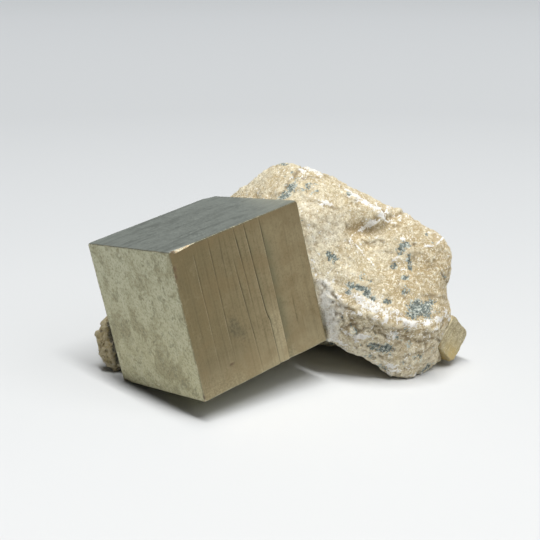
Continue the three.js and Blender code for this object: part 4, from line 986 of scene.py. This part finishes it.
def pyrite_material():
    m = Nodes("pyrite_satin")
    right, left, top, edge = (m.attr(k) for k in ("f_right", "f_left", "f_top", "edge"))
    chip, pit, groove, blotch = (m.attr(k) for k in ("chip", "pit", "groove", "blotch"))
    stria_painted_shade, stria_painted_highlight = m.attr("stria_painted_shade"), m.attr("stria_painted_highlight")
    # Striae run up the display face, along the top's width and across the left face.
    up = m.noise(1.0, 4, 0.6, m.scaled(9000, 300, 130))
    up_wide = m.noise(1.0, 3, 0.5, m.scaled(1500, 200, 60))
    along = m.noise(1.0, 4, 0.6, m.scaled(160, 3800, 300))
    across = m.noise(1.0, 4, 0.55, m.scaled(300, 260, 2600))
    mottle = m.noise(420, 5, 0.62)
    mottle_fine = m.noise(2300, 4, 0.65)
    stain = m.noise(150, 4, 0.6, distortion=0.4)
    speck = m.noise(6500, 2, 0.5)
    blots = m.noise(620, 4, 0.65, distortion=0.8)

    # Display face: brown-bronze, partly the crystal's tarnish and partly painted reflection, with a lighter right part
    # that is painted reflection and greenish run-outs right of the main striae.
    sep = m.t.nodes.new("ShaderNodeSeparateXYZ")
    m.link(m.coord, sep.inputs[0])
    lr = m.remap(sep.outputs["X"], 0.001, 0.0275)
    c_right = m.mix(lr, TONES["right_a"], TONES["right_b"])
    c_right = m.mix(m.remap(sep.outputs["Z"], 0.012, 0.0), c_right, TONES["right_low"])
    low_left = m.math("MULTIPLY", m.remap(sep.outputs["X"], 0.016, 0.004), m.remap(sep.outputs["Z"], 0.013, 0.003))
    c_right = m.mix(m.math("MULTIPLY", low_left, 0.55), c_right, TONES["right_dark"])
    c_right = m.mix(m.remap(up_wide, 0.46, 0.70, 0.0, 0.20), c_right, TONES["right_dark"])
    c_right = m.mix(m.remap(mottle, 0.46, 0.64, 0.0, 0.26), c_right, TONES["right_dark"])
    c_right = m.mix(m.remap(mottle, 0.46, 0.34, 0.0, 0.20), c_right, TONES["right_light"])
    c_right = m.mix(m.remap(mottle_fine, 0.48, 0.66, 0.0, 0.34), c_right, TONES["right_dark"])
    c_right = m.mix(m.remap(up, 0.45, 0.72, 0.0, 0.26), c_right, TONES["right_light"])
    c_right = m.mix(m.remap(up, 0.44, 0.28, 0.0, 0.30), c_right, TONES["right_dark"])
    c_right = m.mix(m.remap(groove, 0.05, 0.9, 0.0, 0.75), c_right, TONES["right_green"])
    # Bright tan band between the two main striae low on the face: partly its own tone, partly painted highlight.
    c_right = m.mix(m.math("MULTIPLY", m.attr("strip"), m.remap(mottle_fine, 0.35, 0.6, 0.60, 0.3)), c_right, TONES["strip"])
    # Painted highlight on the striae's crests, then painted shade on their steep sides.
    c_right = m.mix(m.math("MULTIPLY", stria_painted_highlight, m.remap(speck, 0.35, 0.6, 0.2, 0.55)), c_right, TONES["stria_painted_highlight"])
    c_right = m.mix(m.math("MULTIPLY", stria_painted_shade, 0.92), c_right, TONES["stria_painted_shade"])
    c_right = m.mix(m.math("MULTIPLY", m.remap(blotch, 0.10, 0.8), m.remap(mottle_fine, 0.36, 0.62, 0.20, 0.58)), c_right, TONES["right_blotch"])
    foot = m.math("MULTIPLY", m.remap(sep.outputs["Z"], 0.0065, 0.0002), m.remap(mottle_fine, 0.40, 0.64, 0.08, 0.50))
    c_right = m.mix(foot, c_right, TONES["strip"])
    c_right = m.mix(m.remap(sep.outputs["Z"], 0.0235, 0.0262, 0.0, 0.55), c_right, TONES["right_warm"])
    c_right = m.mix(m.remap(stain, 0.46, 0.66, 0.0, 0.45), c_right, TONES["right_warm"])
    c_right = m.mix(m.remap(speck, 0.66, 0.78, 0.0, 0.30), c_right, TONES["right_light"])
    # Left face: olive grey, mottled, paler towards its top; the tone is partly tarnish and partly painted reflection,
    # and the paler top is painted reflection.
    c_left = m.mix(m.remap(sep.outputs["Z"], 0.003, 0.025), TONES["left_low"], TONES["left_high"])
    c_left = m.mix(m.remap(stain, 0.50, 0.60, 0.0, 0.55), c_left, TONES["left_brown"])
    c_left = m.mix(m.remap(stain, 0.46, 0.36, 0.0, 0.40), c_left, TONES["left_light"])
    blotch_l = m.noise(330, 5, 0.7, distortion=1.2)
    c_left = m.mix(m.remap(blotch_l, 0.55, 0.64, 0.0, 0.60), c_left, TONES["left_brown"])
    c_left = m.mix(m.remap(mottle, 0.47, 0.64, 0.0, 0.32), c_left, TONES["left_brown"])
    c_left = m.mix(m.remap(mottle, 0.47, 0.34, 0.0, 0.26), c_left, TONES["left_light"])
    c_left = m.mix(m.remap(blots, 0.53, 0.64, 0.0, 0.50), c_left, TONES["left_dark"])
    c_left = m.mix(m.remap(mottle_fine, 0.50, 0.66, 0.0, 0.50), c_left, TONES["left_dark"])
    c_left = m.mix(m.remap(mottle_fine, 0.47, 0.34, 0.0, 0.35), c_left, TONES["left_light"])
    c_left = m.mix(m.remap(speck, 0.58, 0.72, 0.0, 0.35), c_left, TONES["left_light"])
    c_left = m.mix(m.remap(across, 0.45, 0.75, 0.0, 0.20), c_left, TONES["left_light"])
    # Top: slate grey with faint streaks; the grey is partly tarnish and partly painted reflection.
    along_wide = m.noise(1.0, 4, 0.6, m.scaled(70, 700, 200))
    c_top = m.mix(m.remap(along, 0.46, 0.64, 0.0, 0.34), TONES["top"], TONES["top_dark"])
    c_top = m.mix(m.remap(along_wide, 0.48, 0.62, 0.0, 0.50), c_top, TONES["top_dark"])
    c_top = m.mix(m.remap(along_wide, 0.44, 0.34, 0.0, 0.45), c_top, TONES["top_light"])
    c_top = m.mix(m.remap(along, 0.46, 0.32, 0.0, 0.26), c_top, TONES["top_light"])
    c_top = m.mix(m.remap(sep.outputs["X"], 0.004, 0.026, 0.0, 0.35), c_top, TONES["top_light"])
    c_top = m.mix(m.remap(mottle, 0.50, 0.64, 0.0, 0.30), c_top, TONES["top_light"])
    c_top = m.mix(m.remap(mottle, 0.48, 0.36, 0.0, 0.36), c_top, TONES["top_dark"])
    c_top = m.mix(m.remap(mottle_fine, 0.45, 0.75, 0.0, 0.26), c_top, TONES["top_dark"])

    # The faces differ in tone partly by tarnish and partly as painted reflection of the light each face mirrors.
    c = m.mix(right, c_left, c_right)
    c = m.mix(top, c, c_top)
    # Edges take a darker tone, partly wear and partly painted shade damping the bevels' reflection, with lighter
    # flecks.
    c = m.mix(m.math("MULTIPLY", edge, m.remap(mottle_fine, 0.3, 0.6, 0.55, 0.95)), c, TONES["edge"])
    c = m.mix(m.math("MULTIPLY", edge, m.remap(blots, 0.50, 0.60, 0.05, 0.85)), c, TONES["edge_light"])
    c = m.mix(m.math("MULTIPLY", chip, 0.85), c, TONES["chip"])
    c = m.mix(m.math("MULTIPLY", chip, m.remap(mottle_fine, 0.45, 0.60)), c, TONES["chip_dark"])
    c = m.mix(m.math("MULTIPLY", pit, 0.9, clamp=True), c, TONES["pit"])
    rough = m.math("ADD", m.remap(mottle_fine, 0.3, 0.7, 0.36, 0.50), m.math("MULTIPLY", left, 0.06))
    rough = m.math("ADD", rough, m.math("MULTIPLY", pit, 0.3), clamp=True)
    metal = m.math("SUBTRACT", METAL, m.math("MULTIPLY", pit, 0.7), clamp=True)
    line = m.math("MULTIPLY", m.math("MULTIPLY", up, right), 1.0)
    line = m.math("ADD", line, m.math("MULTIPLY", m.math("MULTIPLY", along, top), 0.5))
    line = m.math("ADD", line, m.math("MULTIPLY", m.math("MULTIPLY", across, left), 0.35))
    nrm = m.bump(line, 0.35, 0.00006)
    nrm = m.bump(mottle_fine, 0.22, 0.00005, nrm)
    nrm = m.bump(speck, 0.18, 0.00003, nrm)
    m.set(Base_Color=c, Roughness=rough, Metallic=metal, Normal=nrm)
    return m.mat


def weathered_material():
    m = Nodes("weathered_pyrite_skin")
    edge, chip, low = m.attr("edge"), m.attr("chip"), m.attr("low")
    lines = m.noise(1.0, 4, 0.6, m.scaled(500, 5200, 900))
    mottle = m.noise(700, 4, 0.6)
    fine = m.noise(3600, 3, 0.6)
    c = m.mix(m.remap(mottle, 0.42, 0.60), (0.50, 0.435, 0.265), (0.36, 0.30, 0.165))
    c = m.mix(m.remap(lines, 0.47, 0.60, 0.0, 0.85), c, (0.27, 0.22, 0.12))
    c = m.mix(m.remap(fine, 0.52, 0.64, 0.0, 0.7), c, (0.72, 0.65, 0.45))
    c = m.mix(m.remap(fine, 0.42, 0.32, 0.0, 0.5), c, (0.28, 0.23, 0.13))
    # Golden tone over one end: partly the crystal's colour, partly painted reflection.
    c = m.mix(m.math("MULTIPLY", low, m.remap(mottle, 0.3, 0.6, 0.3, 0.9)), c, (0.56, 0.42, 0.16))
    c = m.mix(m.math("MULTIPLY", edge, m.remap(mottle, 0.4, 0.6, 0.0, 0.5)), c, (0.66, 0.61, 0.46))
    c = m.mix(m.math("MULTIPLY", chip, m.remap(fine, 0.4, 0.6)), c, (0.34, 0.25, 0.12))
    nrm = m.bump(lines, 0.45, 0.00008)
    nrm = m.bump(fine, 0.3, 0.00005, nrm)
    m.set(Base_Color=c, Roughness=m.remap(fine, 0.3, 0.7, 0.45, 0.68), Metallic=0.25, Normal=nrm)
    return m.mat


def rock_material():
    m = Nodes("marl_grain")
    a = {k: m.attr(k) for k in ("grey", "white", "brown", "olive", "fine", "pale", "crack", "vein", "cavity", "grain", "left_end", "pocket")}
    n1 = m.noise(260, 4, 0.6)
    n2 = m.noise(900, 4, 0.65)
    n3 = m.noise(2600, 4, 0.65)
    n4 = m.noise(5200, 3, 0.6)
    n5 = m.noise(1500, 3, 0.6, distortion=0.6)
    lum = m.noise(3600, 2, 0.5, m.scaled(1, 1, 1.0))
    c = m.mix(m.remap(n1, 0.36, 0.64), R["beige"], R["beige2"])
    c = m.mix(m.remap(n2, 0.44, 0.70, 0.0, 0.75), c, R["tan"])
    c = m.mix(m.remap(n5, 0.52, 0.66, 0.0, 0.75), c, R["cream"])
    # Pale patches: partly pale marl, partly painted light.
    c = m.mix(m.math("MULTIPLY", a["pale"], m.remap(n2, 0.25, 0.62, 0.5, 1.0)), c, R["pale"])
    c = m.mix(m.math("MULTIPLY", a["brown"], m.remap(n2, 0.3, 0.65, 0.45, 1.0)), c, R["brown"])
    c = m.mix(m.math("MULTIPLY", a["olive"], m.remap(n2, 0.3, 0.62, 0.55, 0.95)), c, R["olive"])
    region = m.noise(120, 4, 0.62, distortion=0.5)
    c = m.mix(m.remap(region, 0.50, 0.62, 0.0, 0.60), c, R["cream"])
    c = m.mix(m.remap(region, 0.47, 0.37, 0.0, 0.55), c, R["tan"])
    streak = m.noise(1.0, 4, 0.66, m.leaning(4200, 1300, 2600), distortion=0.9)
    c = m.mix(m.remap(streak, 0.57, 0.68, 0.0, 0.70), c, R["flake"])
    c = m.mix(m.remap(streak, 0.42, 0.32, 0.0, 0.45), c, R["tan_dark"])
    # Fine-grained facet: near-white, partly white calcite, partly painted light lifting a facet that sits in the
    # crystal's shade.
    fine = m.mix(m.remap(n3, 0.40, 0.60), R["fine_dark"], R["fine_light"])
    c = m.mix(m.math("MULTIPLY", a["fine"], 0.92), c, fine)
    sepr = m.t.nodes.new("ShaderNodeSeparateXYZ")
    m.link(m.coord, sepr.inputs[0])
    # Tanner towards the right end: painted shade darkening the rock's right part.
    c = m.mix(m.remap(sepr.outputs["X"], 0.009, 0.030, 0.0, 0.85), c, R["tan"])
    # Paler towards the bottom: painted light lifting the lower part.
    c = m.mix(m.remap(sepr.outputs["Z"], 0.012, 0.003, 0.0, 0.42), c, R["cream"])
    clean = m.math("MAXIMUM", m.attr("front"), 0.5)
    veil = m.noise(190, 4, 0.6, distortion=0.7)
    c = m.mix(m.math("MULTIPLY", clean, m.remap(veil, 0.50, 0.62, 0.0, 0.50)), c, R["brown"])
    # Grains, light and dark.
    grain_a = m.voronoi(3600, out="Color")
    grain_b = m.voronoi(1250, out="Color")
    c = m.mix(m.remap(grain_b, 0.66, 0.92, 0.0, 0.30), c, R["cream"])
    c = m.mix(m.remap(grain_b, 0.34, 0.12, 0.0, 0.25), c, R["tan"])
    c = m.mix(m.remap(grain_a, 0.62, 0.88, 0.0, 0.85), c, R["cream"])
    c = m.mix(m.remap(grain_a, 0.32, 0.10, 0.0, 0.70), c, R["tan_dark"])
    grain_c = m.voronoi(5200, out="Color")
    c = m.mix(m.remap(grain_c, 0.72, 0.95, 0.0, 0.70), c, R["cream"])
    c = m.mix(m.remap(grain_c, 0.26, 0.08, 0.0, 0.60), c, R["tan_dark"])
    c = m.mix(m.remap(n3, 0.58, 0.70, 0.0, 0.45), c, R["cream"])
    c = m.mix(m.remap(n3, 0.42, 0.30, 0.0, 0.35), c, R["tan_dark"])
    c = m.mix(m.remap(n4, 0.41, 0.29, 0.0, 0.55), c, R["speck"])
    c = m.mix(m.remap(n4, 0.57, 0.68, 0.0, 0.75), c, R["flake"])
    # More painted light on the fine facet.
    c = m.mix(m.math("MULTIPLY", a["fine"], m.remap(n4, 0.36, 0.54, 0.35, 0.95)), c, R["fine_light"])
    c = m.mix(m.remap(a["grain"], 0.80, 0.92, 0.0, 0.35), c, R["cream"])
    c = m.mix(m.remap(a["grain"], 0.20, 0.08, 0.0, 0.28), c, R["tan_dark"])
    # Hollows are browner, partly stain and partly painted shade; deep hollows of the lower part and left end are
    # painted dark as shade, and proud grains are painted paler as highlight.
    c = m.mix(m.remap(a["cavity"], 0.15, 0.95, 0.0, 0.50), c, R["hollow"])
    deep = m.math("MULTIPLY", m.remap(a["cavity"], 0.25, 1.0), m.math("MAXIMUM", a["olive"], a["left_end"]))
    c = m.mix(m.math("MULTIPLY", deep, 0.32), c, R["crack"])
    c = m.mix(m.remap(a["cavity"], -0.20, -0.95, 0.0, 0.40), c, R["cream"])
    # Cracks and the feet of the low steps are painted dark: painted shade in the crevices.
    c = m.mix(m.math("MULTIPLY", a["crack"], m.remap(n2, 0.35, 0.6, 0.10, 0.80)), c, R["crack"])
    # White calcite.
    flake = m.math("ADD", m.math("MULTIPLY", m.math("SUBTRACT", n5, 0.5), 2.2), m.math("MULTIPLY", m.math("SUBTRACT", grain_a, 0.5), 0.8))
    wm = m.remap(m.math("ADD", m.math("MULTIPLY", a["white"], 0.85), flake), 0.40, 0.56)
    c = m.mix(wm, c, m.mix(m.remap(n4, 0.35, 0.6), R["white_dim"], R["white"]))
    vm = m.remap(m.math("ADD", a["vein"], m.math("MULTIPLY", m.math("SUBTRACT", n3, 0.5), 0.8)), 0.34, 0.60)
    c = m.mix(vm, c, R["white"])
    # Grey-green grains.
    broken = m.math("ADD", m.math("MULTIPLY", m.math("SUBTRACT", n2, 0.5), 1.2), m.math("MULTIPLY", m.math("SUBTRACT", grain_a, 0.5), 0.75))
    gm = m.remap(m.math("ADD", m.math("MULTIPLY", a["grey"], 0.74), broken), 0.36, 0.52)
    gm = m.math("MAXIMUM", gm, m.remap(m.math("ADD", m.math("MULTIPLY", n2, 0.5), m.math("MULTIPLY", grain_a, 0.5)), 0.735, 0.775, 0.0, 0.7))
    g = m.mix(m.remap(n4, 0.36, 0.60), R["grey_dark"], R["grey"])
    g = m.mix(m.remap(grain_a, 0.55, 0.85), g, R["grey_light"])
    g = m.mix(m.remap(grain_a, 0.22, 0.08), g, R["grey_dark"])
    g = m.mix(m.remap(a["cavity"], 0.1, 0.8, 0.0, 0.7), g, R["grey_dark"])
    c = m.mix(gm, c, g)
    # Left end: darker brown and gold tones; its pocket is painted dark as shade, its hollows painted darker as shade
    # and its proud spots painted lighter as highlight.
    le = m.mix(m.remap(n2, 0.44, 0.58), R["left_brown"], R["left_gold"])
    le = m.mix(m.remap(a["pocket"], 0.25, 0.75), le, m.mix(m.remap(n3, 0.42, 0.60), R["left_dark"], R["grey_mid"]))
    le = m.mix(m.remap(n3, 0.54, 0.66, 0.0, 0.7), le, R["left_light"])
    le = m.mix(m.remap(a["cavity"], 0.15, 0.9, 0.0, 0.7), le, R["left_dark"])
    le = m.mix(m.remap(a["cavity"], -0.10, -0.70, 0.0, 0.75), le, R["left_light"])
    c = m.mix(m.math("MULTIPLY", a["left_end"], m.remap(n5, 0.35, 0.62, 0.95, 0.70)), c, le)
    rough = m.remap(n3, 0.3, 0.7, 0.78, 0.95)
    rough = m.math("SUBTRACT", rough, m.math("MULTIPLY", wm, 0.25))
    nrm = m.bump(streak, 0.6, 0.00022)
    nrm = m.bump(n3, 0.8, 0.00020, nrm)
    nrm = m.bump(n4, 0.6, 0.00011, nrm)
    m.set(Base_Color=c, Roughness=rough, Normal=nrm)
    m.bsdf.inputs["Specular IOR Level"].default_value = 0.35
    return m.mat


# ------------------------------------------------------------------ build
cube_ob = big_crystal()
rock_ob = rock_piece()
small_ob = little_crystal()
for ob, mat, slot, node in (
    (cube_ob, pyrite_material(), "pyrite", "pyrite_cube"),
    (rock_ob, rock_material(), "marl", "matrix_rock"),
    (small_ob, weathered_material(), "weathered_pyrite", "small_pyrite_crystal"),
):
    ob.data.materials.append(mat)
    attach(ob, "root")
    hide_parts(node)

# ------------------------------------------------------------------ stage, light and camera
floor_mesh = bpy.data.meshes.new("floor")
F = 6.0
floor_mesh.from_pydata([(-F, -F, 0), (F, -F, 0), (F, F, 0), (-F, F, 0)], [], [(0, 1, 2, 3)])
floor = bpy.data.objects.new("floor", floor_mesh)
floor.location.z = -0.00003
bpy.context.scene.collection.objects.link(floor)
fm = bpy.data.materials.new("floor_pale")
fm.use_nodes = True
fb = fm.node_tree.nodes["Principled BSDF"]
ft = fm.node_tree
fco = ft.nodes.new("ShaderNodeTexCoord")
fmap = ft.nodes.new("ShaderNodeMapping")
fmap.inputs["Location"].default_value = (0.0, 0.10, 0.0)
ft.links.new(fco.outputs["Object"], fmap.inputs["Vector"])
flen = ft.nodes.new("ShaderNodeVectorMath")
flen.operation = "LENGTH"
ft.links.new(fmap.outputs["Vector"], flen.inputs[0])
framp = ft.nodes.new("ShaderNodeValToRGB")
for k, (at, c) in enumerate(FLOOR_PAINTED_LIGHT_RAMP):
    e = framp.color_ramp.elements[k] if k < 2 else framp.color_ramp.elements.new(at)
    e.position = at
    e.color = c
ft.links.new(flen.outputs["Value"], framp.inputs["Fac"])
ft.links.new(framp.outputs["Color"], fb.inputs["Base Color"])
fb.inputs["Roughness"].default_value = 0.75
fb.inputs["Specular IOR Level"].default_value = 0.25
floor_mesh.materials.append(fm)


def area(name, where, axis, length, width, power):
    data = bpy.data.lights.new(name, "AREA")
    data.shape = "RECTANGLE"
    data.size = length
    data.size_y = width
    data.energy = power
    ob = bpy.data.objects.new(name, data)
    z = unit(where)
    x = unit(np.array(axis, float) - np.dot(axis, z) * z)
    y = np.cross(z, x)
    ob.matrix_world = Matrix([[x[i], y[i], z[i], where[i]] for i in range(3)] + [[0, 0, 0, 1]])
    bpy.context.scene.collection.objects.link(ob)
    return ob


for spec in LIGHTS:
    area(*spec)
world = bpy.data.worlds.new("soft_room")
bpy.context.scene.world = world
world.use_nodes = True
wt = world.node_tree
bg = wt.nodes["Background"]
geo = wt.nodes.new("ShaderNodeTexCoord")
sepw = wt.nodes.new("ShaderNodeSeparateXYZ")
wt.links.new(geo.outputs["Generated"], sepw.inputs[0])
rampw = wt.nodes.new("ShaderNodeValToRGB")
rampw.color_ramp.elements[0].position = 0.0
rampw.color_ramp.elements[0].color = WORLD_LOW
rampw.color_ramp.elements[1].position = 1.0
rampw.color_ramp.elements[1].color = WORLD_HIGH
wt.links.new(sepw.outputs["Z"], rampw.inputs["Fac"])
wt.links.new(rampw.outputs["Color"], bg.inputs["Color"])
bg.inputs["Strength"].default_value = WORLD_STRENGTH

cam_data = bpy.data.cameras.new("camera")
cam_data.sensor_width = 36.0
cam_data.lens = 83.333
cam_data.clip_start = 0.01
cam_data.clip_end = 50.0
cam = bpy.data.objects.new("camera", cam_data)
cam.location = (-0.002307, -0.215800, 0.085138)
cam.rotation_euler = (math.radians(90 - 17), 0, 0)
bpy.context.scene.collection.objects.link(cam)
bpy.context.scene.camera = cam
bpy.context.scene.view_settings.view_transform = "Standard"
bpy.context.scene.view_settings.look = "None"
